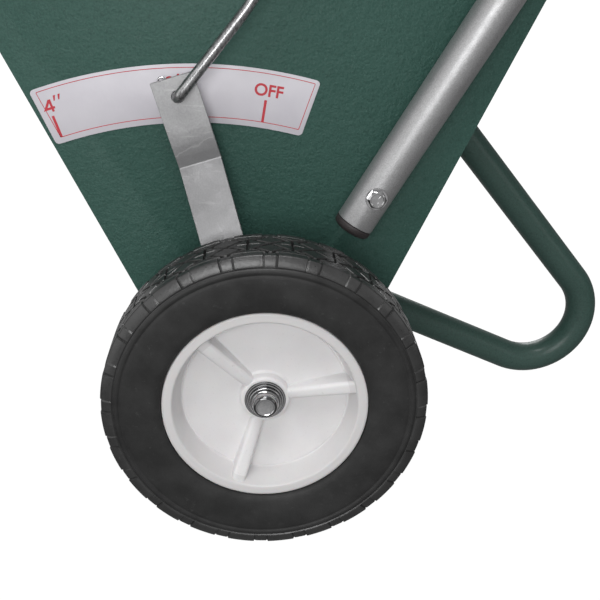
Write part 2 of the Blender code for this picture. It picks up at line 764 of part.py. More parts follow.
def gate_rivet(side, name):
    """The rivet through the strap's foot and the gate's tab."""
    y = side * (LEVER_FOOT_Y - 12 * MM)
    top = -(TROUGH_R + GATE_GAP) + GAP
    bottom = -(TROUGH_R + GATE_GAP + SHEET + GAP + STRAP) - GAP
    shank = rod((0, y, bottom - 1 * MM), (0, y, top + 1 * MM), 2.4 * MM, 12)
    heads = [rod((0, y, top), (0, y, top + 1.8 * MM), 4.2 * MM, 12)]
    heads.append(rod((0, y, bottom - 1.8 * MM), (0, y, bottom), 4.2 * MM, 12))
    finish(lean(joined(shank, *heads)), name, "zinc_steel", "gate")


def rod_ends():
    """The rod's two holes at rest: in the lever, and in the hand lever on the handle."""
    arm = Vector((sin(LEVER_REST), 0, cos(LEVER_REST))) * CRANK
    return AXLE + arm, CONTROL_PIVOT + arm


def control_rod():
    """The rod from the lever to the hand lever, with a hooked end in each and a soft bend above the first."""
    low, high = rod_ends()
    along = high - low
    lower_run = Vector((sin(radians(39.5)), 0, cos(radians(39.5)))) * 75 * MM
    y = Vector((0, -ROD_Y, 0))
    points = [
        low + Vector((0, -154 * MM, 0)),
        low + y,
        low + y + lower_run,
        low + y + along * 0.45 - Vector((0.0005, 0, 0)),
        high + y,
        high + Vector((0, -190 * MM, 0)),
    ]
    hook = rounded(points[:3], 6 * MM, radians(22.5))
    middle = rounded(points[1:5], 120 * MM, radians(4))
    top = rounded(points[3:], 6 * MM, radians(22.5))
    path = hook[:-1] + middle[1:-1] + top[1:]
    bar = wire(path, ROD_R, resolution=3)
    for at, y_pin, way in cotter_places():
        centre = at + Vector((0, y_pin, 0))
        bar = cut(bar, rod(centre - way * 8 * MM, centre + way * 8 * MM, 1.0 * MM + GAP, 10))
    finish(bar, "control_rod", "zinc_steel", "rod")


def cotter_places():
    """Where each split pin crosses the rod: hole centre, Y, and the way that its eye points."""
    low, high = rod_ends()
    return (
        (low, -157.2 * MM, Vector((-0.78, 0, 0.626))),
        (high, -186 * MM, Vector((-0.96, 0, -0.28))),
    )


def cotter_pin(index, name):
    """A split pin: a straight leg through the rod and a round eye."""
    at, y_pin, way = cotter_places()[index]
    centre = at + Vector((0, y_pin, 0))
    eye_r = 2.4 * MM
    eye = centre + way * (10.4 * MM + eye_r)
    ring = []
    start = atan2(-way.z, -way.x)
    turns = 12
    for i in range(1, turns):
        a = start + 2 * pi * i / turns
        ring.append(eye + eye_r * Vector((cos(a), 0, sin(a))))
    path = [centre - way * 8 * MM, eye - way * eye_r, *ring]
    finish(wire(path, 1.0 * MM, resolution=2), name, "chrome", "rod")


def control_lever():
    """The hand lever on the left handle tube: a flat strap with a plastic grip."""
    half = CONTROL_WIDTH / 2
    outline = arc((0, 0), half, -pi, 0, 8) + [(half, CONTROL_LENGTH), (-half, CONTROL_LENGTH)]
    low, high = -(CONTROL_Y + STRAP / 2), -(CONTROL_Y - STRAP / 2)
    turn = Matrix.Translation(CONTROL_PIVOT) @ Matrix.Rotation(LEVER_REST, 4, "Y")
    lever = prism(outline, low, high)
    holes = []
    for z, radius in ((0, HOLE_R), (CRANK, ROD_HOLE_R)):
        holes.append(rod((0, low - 5 * MM, z), (0, high + 5 * MM, z), radius, 18))
    lever = cut(lever, *holes)
    lever.matrix_world = turn @ lever.matrix_world
    finish(lever, "control_lever", "zinc_steel", "control_lever")

    wall = 3.2 * MM
    start, end = CONTROL_LENGTH - 66 * MM, CONTROL_LENGTH + 8 * MM
    edge = 5 * MM
    wide = half + wall
    grip_outline = [
        (wide - edge, start),
        (wide, start + edge),
        (wide, end - 2 * edge),
        (wide - 2 * edge, end),
        (2 * edge - wide, end),
        (-wide, end - 2 * edge),
        (-wide, start + edge),
        (edge - wide, start),
    ]
    grip = prism(grip_outline, low - wall, high + wall)
    socket = block((-half - GAP, low - GAP, start - 5 * MM), (half + GAP, high + GAP, CONTROL_LENGTH + GAP))
    grip = cut(grip, socket)
    grip.matrix_world = turn @ grip.matrix_world
    finish(grip, "lever_grip", "black_plastic", "control_lever")


def control_pivot():
    """The bolt that the hand lever turns on, its spacer washer and its lock nut."""
    tube_face = HANDLE_Y + TUBE_R
    inner_nut = HANDLE_Y - TUBE_R - GAP - NUT
    head_y = CONTROL_Y + STRAP / 2 + GAP
    bolt(CONTROL_PIVOT, -1, head_y - inner_nut + 2 * MM, "control_pivot_bolt", "hopper", head_y)
    nut(CONTROL_PIVOT, -1, inner_nut, "control_pivot_nut", "hopper")
    start, end = tube_face + GAP, CONTROL_Y - STRAP / 2 - GAP
    profile = [(HOLE_R, start), (8 * MM, start), (8 * MM, end), (HOLE_R, end)]
    washer = turned(profile, CONTROL_PIVOT, (0, -1, 0), 20)
    finish(washer, "control_pivot_washer", "zinc_steel", "hopper")


# ---------------------------------------------------------------- lid


def lid_panel():
    """A flat lid with a turned-down rear edge and two lips that drop inside the hopper."""
    low = RIM_Z + GAP
    high = low + LID_SHEET
    front = -(LIP_X - 1 * MM)
    rear = LIP_X + 0.5 * MM + LID_SHEET
    half = HALF_WIDTH - GAP
    panel = block((front, -half, low), (rear, half, high))
    skirt = block((rear - LID_SHEET, -half, low - 10 * MM), (rear, half, low + LID_SHEET / 2))
    lips = []
    for side in (-1, 1):
        y_low, y_high = sorted((side * 145.5 * MM, side * 146.7 * MM))
        lips.append(block((-150 * MM, y_low, low - 10 * MM), (150 * MM, y_high, low + LID_SHEET / 2)))
    finish(joined(panel, skirt, *lips), "lid_panel", "green_paint", "lid")


def lid_knob():
    """A turned knob near the lid's rear edge."""
    base = RIM_Z + GAP + LID_SHEET + GAP
    profile = [
        (0, 0),
        (8 * MM, 0),
        (7 * MM, 8 * MM),
        (14 * MM, 14 * MM),
        (15 * MM, 18 * MM),
        (12.5 * MM, 22 * MM),
        (6 * MM, 24 * MM),
        (0, 24 * MM),
    ]
    finish(turned(profile, (180 * MM, 0, base), (0, 0, 1), 28), "lid_knob", "black_plastic", "lid")


def hinge():
    """The long hinge at the front rim: a leaf on the hopper's lip, a leaf on the lid, and the pin."""
    length = HINGE_LENGTH / KNUCKLES
    slack = 0.4 * MM
    axis = Vector((HINGE_X, 0, HINGE_Z))
    lip_face = -LIP_X - GAP
    fixed = block((lip_face - SHEET, -HINGE_LENGTH / 2, RIM_Z - LIP), (lip_face, HINGE_LENGTH / 2, RIM_Z - 1.2 * MM))
    leaf_low, leaf_high = RIM_Z + GAP + LID_SHEET + GAP, RIM_Z + GAP + LID_SHEET + GAP + SHEET
    moving = block(
        (-LIP_X + 0.5 * MM, -HINGE_LENGTH / 2, leaf_low), (-LIP_X + 20 * MM, HINGE_LENGTH / 2, leaf_high)
    )
    extras = {"fixed": [], "moving": []}
    for i in range(KNUCKLES):
        start = -HINGE_LENGTH / 2 + i * length + slack
        end = start + length - 2 * slack
        barrel = rod((axis.x, start, axis.z), (axis.x, end, axis.z), HINGE_R, 16)
        if i % 2 == 0:
            arm = block((lip_face - SHEET, start, RIM_Z - 5 * MM), (lip_face, end, axis.z))
            extras["fixed"] += [barrel, arm]
        else:
            arm = block((axis.x, start, leaf_low), (-LIP_X + 3 * MM, end, leaf_high))
            extras["moving"] += [barrel, arm]
    reach = HINGE_LENGTH
    fixed = cut(joined(fixed, *extras["fixed"]), hinge_bore(axis, reach))
    moving = cut(joined(moving, *extras["moving"]), hinge_bore(axis, reach))
    finish(fixed, "hinge_leaf_hopper", "zinc_steel", "hopper")
    finish(moving, "hinge_leaf_lid", "zinc_steel", "lid")
    half = HINGE_LENGTH / 2 + 1 * MM
    pin = rod((axis.x, -half, axis.z), (axis.x, half, axis.z), PIN_R, 12)
    finish(pin, "hinge_pin", "zinc_steel", "hopper")


def hinge_bore(axis, reach):
    return rod((axis.x, -reach, axis.z), (axis.x, reach, axis.z), PIN_R + GAP, 12)


# ---------------------------------------------------------------- the whole


def main():
    for side, word in ((-1, "left"), (1, "right")):
        side_plate(side, f"{word}_side_plate")
        baffle(side, f"{word}_baffle")
        axle_bushing(side, f"{word}_axle_bushing")
        axle_spacer(side, f"{word}_axle_spacer")
        lower_tube(side, f"{word}_handle_tube")
        tube_plug(side, f"{word}_tube_plug")
        axle_cap(side, f"{word}_axle_cap")
        axle_washer(side, f"{word}_axle_washer")
        gate_rivet(side, f"{word}_gate_rivet")
    hopper_shell()
    scale_label()
    stand()
    upper_handle()
    handle_grip()
    cross_brace()
    handle_fasteners()
    wheel_hub(-1, "left_wheel_hub", "left_wheel")
    tyre(-1, "left_tyre", "left_wheel")
    wheel_hub(1, "right_wheel_hub", "axle", pinned=True)
    tyre(1, "right_tyre", "axle")
    axle_shaft()
    agitator()
    gate_plate()
    lever_top = [(LEVER_Y, LEVER_END), (LEVER_Y, 141 * MM), (LEVER_FOOT_Y, 91 * MM)]
    gate_strap(-1, "shutoff_lever", lever_top)
    gate_strap(1, "gate_hanger", [(LEVER_FOOT_Y, 20 * MM)])
    control_rod()
    cotter_pin(0, "lower_cotter_pin")
    cotter_pin(1, "upper_cotter_pin")
    control_lever()
    control_pivot()
    lid_panel()
    lid_knob()
    hinge()


for old in list(bpy.data.objects):
    bpy.data.objects.remove(old)
MARKER = collection("dry_line_marker")
CUTTERS = collection("cutters")
ORIGIN = bpy.data.objects.new("origin", None)
ORIGIN.location = (AXLE_X, 0, 0)
MARKER.objects.link(ORIGIN)
GROUPS = {}
for group_name, group_at in {
    "hopper": Vector((0, 0, 0)),
    "axle": AXLE,
    "left_wheel": AXLE,
    "gate": AXLE,
    "rod": rod_ends()[0],
    "control_lever": CONTROL_PIVOT,
    "lid": Vector((HINGE_X, 0, HINGE_Z)),
}.items():
    GROUPS[group_name] = bpy.data.objects.new(f"{group_name}_pivot", None)
    GROUPS[group_name].location = group_at
    GROUPS[group_name].parent = ORIGIN
    MARKER.objects.link(GROUPS[group_name])
main()
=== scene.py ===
"""Looks of the dry line marker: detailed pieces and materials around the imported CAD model."""

import json
from math import acos, atan2, cos, hypot, pi, radians, sin, tan

import bmesh
import bpy
import numpy as np
from mathutils import Matrix, Vector


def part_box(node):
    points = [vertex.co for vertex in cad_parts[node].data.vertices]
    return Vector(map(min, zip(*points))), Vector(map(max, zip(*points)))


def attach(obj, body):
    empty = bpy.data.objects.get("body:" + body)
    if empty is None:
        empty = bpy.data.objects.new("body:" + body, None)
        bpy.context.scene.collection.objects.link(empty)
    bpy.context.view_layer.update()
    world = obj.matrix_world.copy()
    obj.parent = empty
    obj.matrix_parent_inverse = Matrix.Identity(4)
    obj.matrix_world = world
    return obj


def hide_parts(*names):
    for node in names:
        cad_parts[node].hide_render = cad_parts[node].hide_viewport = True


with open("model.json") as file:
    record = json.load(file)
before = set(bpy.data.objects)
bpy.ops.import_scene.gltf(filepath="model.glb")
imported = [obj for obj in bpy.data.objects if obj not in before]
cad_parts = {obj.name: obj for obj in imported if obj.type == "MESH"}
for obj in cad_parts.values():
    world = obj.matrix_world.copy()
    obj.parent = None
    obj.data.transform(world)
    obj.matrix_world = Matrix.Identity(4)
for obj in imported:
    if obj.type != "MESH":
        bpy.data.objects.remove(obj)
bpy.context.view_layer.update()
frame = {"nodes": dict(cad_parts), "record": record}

MM = 0.001
NODES = frame["nodes"]
X, Y, Z = Vector((1, 0, 0)), Vector((0, 1, 0)), Vector((0, 0, 1))
SIDES = (-1, "left"), (1, "right")


def middle(node):
    low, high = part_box(node)
    return (low + high) / 2


AXLE = middle("axle_shaft")
WHEEL_R = AXLE.z
ARM_REST = radians(-16.4)
ARM = Vector((sin(ARM_REST), 0, cos(ARM_REST)))


def at(x, y, z):
    """A place in millimetres: x back from the axle, y to the right and z up from the ground."""
    return Vector((AXLE.x + x * MM, y * MM, z * MM))


# ---------------------------------------------------------------- materials

MIX_NUMBERS, MIX_COLOURS = (2, 3), (6, 7)  # a Mix node's two inputs of each kind
MIXED_NUMBER, MIXED_COLOUR = 0, 2  # and its outputs


class Nodes:
    """Short calls that add nodes to a tree. An input is a plain value or another node's output."""

    def __init__(self, tree):
        self.tree = tree

    def put(self, value, socket):
        if isinstance(value, bpy.types.NodeSocket):
            self.tree.links.new(value, socket)
        else:
            socket.default_value = value

    def node(self, kind, inputs, output, **settings):
        """Adds a node, fills the inputs named or numbered in the dict, and gives back one output."""
        node = self.tree.nodes.new(f"ShaderNode{kind}")
        for setting, value in settings.items():
            setattr(node, setting, value)
        for key, value in inputs.items():
            self.put(value, node.inputs[key])
        return node.outputs[output]

    def math(self, operation, *values):
        return self.node("Math", dict(enumerate(values)), "Value", operation=operation)


class Shader(Nodes):
    """A Principled material whose nodes work in metres of the row frame."""

    def __init__(self, name, roughness, metallic=0.0, **sockets):
        self.material = bpy.data.materials.new(name)
        self.material.use_nodes = True
        super().__init__(self.material.node_tree)
        self.sockets = self.tree.nodes["Principled BSDF"].inputs
        for socket, value in {"Roughness": roughness, "Metallic": metallic, **sockets}.items():
            self.sockets[socket.replace("_", " ")].default_value = value
        self.coordinates = self.node("TexCoord", {}, "Object")

    def stretched(self, *scale):
        """The coordinates, stretched by a factor per axis, for grain that runs one way."""
        return self.node("Mapping", {"Vector": self.coordinates, "Scale": scale}, "Vector")

    def noise(self, size, detail=3.0, roughness=0.5, vector=None):
        """Noise with features of about this size in metres."""
        inputs = {"Scale": 1 / size, "Detail": detail, "Roughness": roughness}
        return self.node("TexNoise", {**inputs, "Vector": vector or self.coordinates}, "Fac")

    def remap(self, value, low, high, start, end):
        inputs = {"Value": value, "From Min": low, "From Max": high, "To Min": start, "To Max": end}
        return self.node("MapRange", inputs, "Result")

    def spread(self, size, detail, start=0, end=1, low=0.3, high=0.7, roughness=0.5, vector=None):
        """Noise whose values between low and high are spread from start to end."""
        return self.remap(self.noise(size, detail, roughness, vector), low, high, start, end)

    def along(self, direction):
        """Distance from the axle along a direction, in metres."""
        shifted = self.node("VectorMath", {0: self.coordinates, 1: AXLE}, "Vector", operation="SUBTRACT")
        return self.node("VectorMath", {0: shifted, 1: direction}, "Value", operation="DOT_PRODUCT")

    def from_axle(self):
        """Distance from the axle's middle line."""
        x, z = self.along(X), self.along(Z)
        return self.math("SQRT", self.math("ADD", self.math("MULTIPLY", x, x), self.math("MULTIPLY", z, z)))

    def mixed(self, factor, *colours):
        inputs = {i: (*c, 1) if isinstance(c, tuple) else c for i, c in zip(MIX_COLOURS, colours)}
        return self.node("Mix", {"Factor": factor, **inputs}, MIXED_COLOUR, data_type="RGBA")

    def finished(self, colour, roughness, *bumps):
        """The material with its surface fed. Each bump is (height, depth in metres); they are stacked."""
        below = {}
        for height, depth in bumps:
            normal = self.node("Bump", {"Distance": depth, "Height": height, **below}, "Normal")
            below = {"Normal": normal}
        for socket, value in {"Base Color": colour, "Roughness": roughness, **below}.items():
            self.put(value, self.sockets[socket])
        return self.material


def srgb(*levels):
    shares = [level / 255 for level in levels]
    return tuple(c / 12.92 if c <= 0.04045 else ((c + 0.055) / 1.055) ** 2.4 for c in shares)


def grey(level, blue=1):
    """A grey with this much more blue in it."""
    return srgb(level, level, level + blue)


def green_paint(name, gloss, peel, low, high):
    """Dark green enamel with fine orange peel, slightly chalky in patches."""
    s = Shader(name, 0.42, Coat_Weight=gloss, Coat_Roughness=0.24, Specular_IOR_Level=0.2)
    base = s.mixed(s.spread(0.06, 4), low, high)
    base = s.mixed(s.spread(0.0014, 3, 0, 0.5, 0.35, 0.75, 0.6), base, srgb(70, 104, 95))
    base = s.mixed(s.spread(0.0024, 4, 0, 0.55, 0.54, 0.72, 0.7), base, srgb(38, 64, 57))
    bumps = (s.noise(0.005, 2), peel), (s.noise(0.0017, 3, 0.6), peel * 0.8)
    return s.finished(base, s.spread(0.012, 4, 0.42, 0.52), *bumps)


def silver_paint():
    """Satin silver on the handle's tubes, with a fine metallic grain."""
    s = Shader("silver_satin", 0.45, 0.8)
    tone = s.mixed(s.spread(0.0007, 2, roughness=0.7), grey(164), grey(202))
    tone = s.mixed(s.math("MULTIPLY", s.spread(0.03, 3), 0.3), tone, srgb(160, 159, 160))
    bumps = (s.noise(0.0008, 2, 0.6), 0.000014), (s.noise(0.006, 2), 0.00005)
    return s.finished(tone, s.spread(0.004, 4, 0.42, 0.5), *bumps)


def zinc(name, with_bend_shading=False):
    """Dull zinc plate with faint clouding, smudges and fine handling scratches."""
    s = Shader(name, 0.42, 0.75)
    cloud = s.spread(0.02, 5, roughness=0.55)
    tone = s.mixed(s.spread(0.0011, 4, roughness=0.65), grey(154), grey(172))
    tone = s.mixed(s.math("MULTIPLY", cloud, 0.35), tone, grey(146))
    marks = s.spread(0.006, 2, 0, 0.4, 0.66, 0.7, 0.4, s.stretched(0.35, 1, 2.6))
    tone = s.mixed(marks, tone, grey(196, 0))
    bumps = (s.noise(0.0013, 4, 0.65), 0.00007), (s.noise(0.012, 2), 0.0002)
    # the lever's plate gets painted shade and a painted highlight at its bend
    return s.finished(bend_shade_and_highlight(s, tone) if with_bend_shading else tone, s.remap(cloud, 0, 1, 0.38, 0.5), *bumps)


def bend_shade_and_highlight(s, tone):
    """The lever's plating with painted shade just above and below its bend, and a fine painted highlight line
    along the crease.
    """
    arm = s.along(ARM)
    wavy = s.math("ADD", arm, s.spread(0.012, 3, -0.004, 0.004))
    # painted shade just above the bend, with a wavy upper edge
    dark = s.math("MULTIPLY", s.remap(wavy, 0.168, 0.143, 0, 0.8), s.remap(arm, 0.1408, 0.1416, 0, 1))
    tone = s.mixed(dark, tone, grey(118))
    # painted highlight: a bright, slightly slanted line along the crease
    across = s.math("MULTIPLY", s.along((ARM.z, 0, -ARM.x)), 0.22)
    slant = s.math("ADD", s.math("SUBTRACT", arm, across), s.spread(0.006, 3, -0.0012, 0.0012))
    crease = s.remap(s.math("ABSOLUTE", s.math("SUBTRACT", slant, 0.1525)), 0.0001, 0.0007, 0.3, 0)
    tone = s.mixed(crease, tone, grey(190, 0))
    # painted shade on the slanted part below the bend
    return s.mixed(s.remap(arm, 0.1412, 0.1405, 0, 0.62), tone, grey(92))


def rod_steel():
    """Drawn, plated wire: grain along its length and darker worn streaks."""
    s = Shader("drawn_wire", 0.3, 0.95)
    way = s.stretched(1, 1, 0.3)
    tone = s.mixed(s.spread(0.0013, 4, 0, 1, 0.35, 0.65, 0.65, way), grey(124), grey(190))
    bumps = (s.noise(0.0009, 3, 0.6, way), 0.00003), (s.noise(0.003, 2), 0.00004)
    return s.finished(tone, s.spread(0.003, 3, 0.2, 0.36), *bumps)


def bare_steel():
    s = Shader("bare_steel", 0.4, 0.95)
    smudge = s.spread(0.01, 5, roughness=0.6)
    tone = s.mixed(smudge, srgb(120, 118, 116), srgb(150, 149, 148))
    brushed = s.noise(0.0008, 3, 0.6, s.stretched(1, 0.15, 1))
    return s.finished(tone, s.remap(smudge, 0, 1, 0.3, 0.5), (brushed, 0.00004))


def chrome():
    """Bright plating. The caps and washers on the axle have painted dark reflections in rings."""
    s = Shader("bright_plating", 0.12, 1.0)
    haze = s.spread(0.004, 4, roughness=0.6)
    radius = s.from_axle()
    # painted reflection: dark bands and fine dark rings round the axle stand in for dark surroundings
    # reflected in the caps and washers
    inner, outer = s.remap(radius, 0.0056, 0.006, 0, 0.8), s.remap(radius, 0.0072, 0.0079, 1, 0.2)
    rings = s.math("SINE", s.math("MULTIPLY", radius, 2 * pi / 0.00125))
    rings = s.math("MULTIPLY", s.remap(rings, -0.3, 0.5, 0, 0.9), s.remap(radius, 0.0078, 0.008, 0, 1))
    near = s.math("MAXIMUM", s.math("MULTIPLY", inner, outer), rings)
    near = s.math("MULTIPLY", near, s.remap(radius, 0.0135, 0.015, 1, 0))
    tone = s.mixed(near, s.mixed(haze, grey(190), grey(216)), grey(56))
    return s.finished(tone, s.remap(haze, 0, 1, 0.06, 0.13), (s.noise(0.0015, 3), 0.00003))


def rubber(name, tread=False):
    """Moulded black rubber with a dry bloom and fine pitting. A tyre is glossier out at its tread."""
    s = Shader(name, 0.5, Specular_IOR_Level=0.35)
    base = s.mixed(s.spread(0.02, 5, 0, 1, 0.35, 0.7, 0.6), grey(35, 0), grey(50, 0))
    base = s.mixed(s.spread(0.0035, 5, 0, 0.55, 0.62, 0.74, 0.7), base, grey(72, 0))
    dull = s.spread(0.004, 4, 0.46, 0.62, roughness=0.6)
    if tread:
        out = s.remap(s.from_axle(), 0.0925, 0.0945, 0, 1)
        shiny = s.math("MULTIPLY", out, s.spread(0.002, 4, 0.26, 0.4, roughness=0.6))
        dull = s.math("ADD", shiny, s.math("MULTIPLY", s.math("SUBTRACT", 1.0, out), dull))
        s.put(s.remap(out, 0, 1, 0.3, 0.8), s.sockets["Specular IOR Level"])
    return s.finished(base, dull, (s.noise(0.0018, 4, 0.6), 0.0001), (s.noise(0.0006, 2), 0.00004))


def white_plastic():
    """Moulded white plastic with soft flow marks, a few dusty specks and painted shade that greys the rim's
    wall and lip.
    """
    s = Shader("white_nylon", 0.42, Subsurface_Weight=0.05, Subsurface_Scale=0.001)
    base = s.mixed(s.spread(0.03, 3), srgb(222, 220, 221), srgb(230, 229, 229))
    base = s.mixed(s.spread(0.0016, 4, 0, 0.6, 0.6, 0.8, 0.7), base, srgb(186, 180, 180))
    radius = s.from_axle()
    # painted shade: greyer from 53.3 mm out from the axle, over the rim's wall and lip
    base = s.mixed(s.remap(radius, 0.0533, 0.0538, 0, 0.5), base, srgb(201, 199, 199))
    base = s.mixed(s.remap(radius, 0.0576, 0.0584, 0, 0.85), base, srgb(212, 210, 210))
    bumps = (s.noise(0.0025, 3, 0.6), 0.00007), (s.noise(0.012, 2), 0.00015)
    return s.finished(base, s.spread(0.006, 4, 0.36, 0.52), *bumps)


def nylon():
    s = Shader("natural_nylon", 0.45, Subsurface_Weight=0.1, Subsurface_Scale=0.002)
    tone = s.mixed(s.spread(0.01, 4), srgb(205, 200, 188), srgb(222, 218, 208))
    return s.finished(tone, 0.45, (s.noise(0.002, 3), 0.00005))


def black_plastic():
    """Black moulded plastic with a leathery grain, greyed on its high spots."""
    s = Shader("black_plastic", 0.5)
    grain = s.node("TexVoronoi", {"Scale": 1 / 0.0011, "Vector": s.coordinates}, "Distance")
    tone = s.mixed(s.remap(grain, 0.1, 0.7, 0, 1), srgb(38, 34, 34), srgb(52, 47, 47))
    return s.finished(tone, s.spread(0.003, 3, 0.42, 0.6), (grain, 0.00012), (s.noise(0.004, 3), 0.0001))


def label_film(name, light, dark):
    """Printed vinyl: an even film that follows the paint's texture under it."""
    s = Shader(name, 0.45, Coat_Weight=0.05, Coat_Roughness=0.2)
    tone = s.mixed(s.spread(0.03, 4), light, dark)
    return s.finished(tone, s.spread(0.01, 3, 0.42, 0.52), (s.noise(0.0045, 2), 0.0001))


MATERIALS = {
    "green_paint": green_paint("green_enamel", 0.05, 0.00065, srgb(49, 80, 72), srgb(53, 84, 76)),
    "green_tube": green_paint("green_tube_enamel", 0.3, 0.00015, srgb(56, 77, 71), srgb(61, 82, 76)),
    "silver_paint": silver_paint(),
    "zinc_steel": zinc("zinc_plate"),
    "bare_steel": bare_steel(),
    "chrome": chrome(),
    "rubber": rubber("black_rubber"),
    "white_plastic": white_plastic(),
    "nylon": nylon(),
    "black_plastic": black_plastic(),
    "label_film": label_film("label_white", srgb(198, 195, 202), srgb(208, 205, 211)),
    "tread": rubber("tyre_rubber", tread=True),
    "lever": zinc("lever_plate", with_bend_shading=True),
    "rod": rod_steel(),
    "ink": label_film("label_red", srgb(184, 40, 54), srgb(194, 50, 62)),
}
SLOTS = {s["node"]: s["material_slot"] for s in frame["record"]["subparts"]}
BODIES = {node: body for body, nodes in frame["record"]["behaviour"]["bodies"].items() for node in nodes}
for node, obj in NODES.items():
    obj.data.materials.clear()
    obj.data.materials.append(MATERIALS[SLOTS[node]])


# ---------------------------------------------------------------- shapes


def piece(name, bm, node, material=None, angle=40, replaces=True):
    """A finished mesh piece that stands for a CAD node, or lies on it."""
    bmesh.ops.recalc_face_normals(bm, faces=bm.faces)
    settle(loose(name, bm), node, material, angle, replaces)


def settle(obj, node, material=None, angle=40, replaces=True):
    """Gives a mesh object the node's material, or another, and hangs it on the node's body."""
    if obj.name not in bpy.context.scene.collection.objects:
        bpy.context.scene.collection.objects.link(obj)
    obj.data.materials.clear()
    obj.data.materials.append(MATERIALS[material or SLOTS[node]])
    obj.data.shade_smooth()
    obj.data.set_sharp_from_angle(angle=radians(angle))
    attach(obj, BODIES[node])
    if replaces:
        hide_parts(node)


def taken(mesh):
    """The mesh as a bmesh. The mesh itself, and any object that shows it, is removed."""
    bm = bmesh.new()
    bm.from_mesh(mesh)
    bpy.data.meshes.remove(mesh)
    return bm


def add(bm, other):
    """Puts another bmesh's geometry into bm."""
    mesh = bpy.data.meshes.new("joined")
    other.to_mesh(mesh)
    other.free()
    bm.from_mesh(mesh)
    bpy.data.meshes.remove(mesh)
    return bm


def facing(direction):
    return Vector(direction).to_track_quat("Z", "Y").to_matrix().to_4x4()


def metres(points):
    """Pairs in millimetres, in metres."""
    return [(u * MM, v * MM) for u, v in points]


def revolved(profile, origin, direction, steps):
    """Turns (radius, distance along the axis) points in mm about an axis; off the axis they close up."""
    bm = bmesh.new()
    turns = [2 * pi * i / steps for i in range(steps)]
    rings = []
    for r, h in metres(profile):
        ring = [(r * cos(a), r * sin(a), h) for a in turns] if r else [(0, 0, h)]
        rings.append([bm.verts.new(p) for p in ring])
    pairs = list(zip(rings, rings[1:]))
    if profile[0][0] and profile[-1][0]:
        pairs.append((rings[-1], rings[0]))
    for a, b in pairs:
        if len(a) == len(b) == 1:
            continue
        for i in range(steps):
            j = (i + 1) % steps
            corners = [a[i % len(a)], a[j % len(a)], b[j % len(b)], b[i % len(b)]]
            bm.faces.new(list(dict.fromkeys(corners)))
    bm.transform(Matrix.Translation(origin) @ facing(direction))
    return bm


def arc_between(start, corner, end, shares):
    """Points on the curve from start to end that is drawn towards the corner."""
    return [start * (1 - t) ** 2 + corner * 2 * t * (1 - t) + end * t**2 for t in shares]


def softened(profile, radius):
    """The profile with a small arc in place of each corner that is off the axis and long enough for one."""
    out = []
    count = len(profile)
    closed = bool(profile[0][0] and profile[-1][0])
    for i, at in enumerate(profile):
        if not closed and i in (0, count - 1):
            out.append(at)
            continue
        here = Vector(at)
        back, ahead = Vector(profile[i - 1]) - here, Vector(profile[(i + 1) % count]) - here
        cutback = min(radius, back.length * 0.45, ahead.length * 0.45)
        start, end = here + back.normalized() * cutback, here + ahead.normalized() * cutback
        arc = arc_between(start, here, end, (0, 1 / 3, 2 / 3, 1))
        out += [(max(point.x, 0), point.y) for point in arc]
    return out


def rounded(corners, radius, step):
    """A path through the corners with an arc at each inner one."""
    path = [Vector(corners[0])]
    for triple in zip(corners, corners[1:], corners[2:]):
        before, corner, after = [Vector(c) for c in triple]
        towards, away = (before - corner).normalized(), (after - corner).normalized()
        opening = acos(max(-1, min(1, towards.dot(away))))
        centre = corner + (towards + away).normalized() * radius / sin(opening / 2)
        first = corner + towards * radius / tan(opening / 2) - centre
        axis = towards.cross(away).normalized()
        turn = pi - opening
        count = max(2, round(turn / step))
        path += [centre + Matrix.Rotation(-turn * i / count, 3, axis) @ first for i in range(count + 1)]
    path.append(Vector(corners[-1]))
    return path


def lofted(rings, closed=False):
    """A skin over rings of equal length, capped at both ends or, when closed, joined round to the first."""
    bm = bmesh.new()
    loops = [[bm.verts.new(p) for p in ring] for ring in rings]
    count = len(loops[0])
    for a, b in zip(loops, loops[1:] + loops[:1] if closed else loops[1:]):
        for k in range(count):
            j = (k + 1) % count
            bm.faces.new((a[k], a[j], b[j], b[k]))
    if not closed:
        bm.faces.new(loops[0][::-1])
        bm.faces.new(loops[-1])
    return bm


def swept(path, radius, sides=32, radii=None, closed=False):
    """A round bar along a path, with capped ends, or a closed ring."""
    path = [Vector(p) for p in path]
    count = len(path)
    turns = [2 * pi * k / sides for k in range(sides)]
    normal = None
    rings = []
    for i, at in enumerate(path):
        ahead = path[(i + 1) % count] if closed or i < count - 1 else at
        back = path[i - 1] if closed or i else at
        way = (ahead - back).normalized()
        normal = normal or way.orthogonal().normalized()
        normal = (normal - way * normal.dot(way)).normalized()
        side = way.cross(normal)
        r = radii[i] if radii else radius
        rings.append([at + (normal * cos(a) + side * sin(a)) * r for a in turns])
    return lofted(rings, closed)


def extruded(outline, low, high, matrix=None):
    """A closed (u, v) outline extruded along w from low to high. The matrix takes (u, v, w) to its place."""
    bm = bmesh.new()
    bottom = [bm.verts.new((u, v, low)) for u, v in outline]
    top = [bm.verts.new((u, v, high)) for u, v in outline]
    bm.faces.new(bottom[::-1])
    bm.faces.new(top)
    for i in range(len(outline)):
        j = (i + 1) % len(outline)
        bm.faces.new((bottom[i], bottom[j], top[j], top[i]))
    if matrix is not None:
        bm.transform(matrix)
    bmesh.ops.recalc_face_normals(bm, faces=bm.faces)
    return bm


def axes(u, v, w, origin=(0, 0, 0)):
    """The matrix that takes the first three axes to u, v and w."""
    turn = Matrix((Vector(u), Vector(v), Vector(w))).transposed().to_4x4()
    return Matrix.Translation(Vector(origin)) @ turn


def loose(name, bm):
    mesh = bpy.data.meshes.new(name)
    bm.to_mesh(mesh)
    bm.free()
    obj = bpy.data.objects.new(name, mesh)
    bpy.context.scene.collection.objects.link(obj)
    return obj


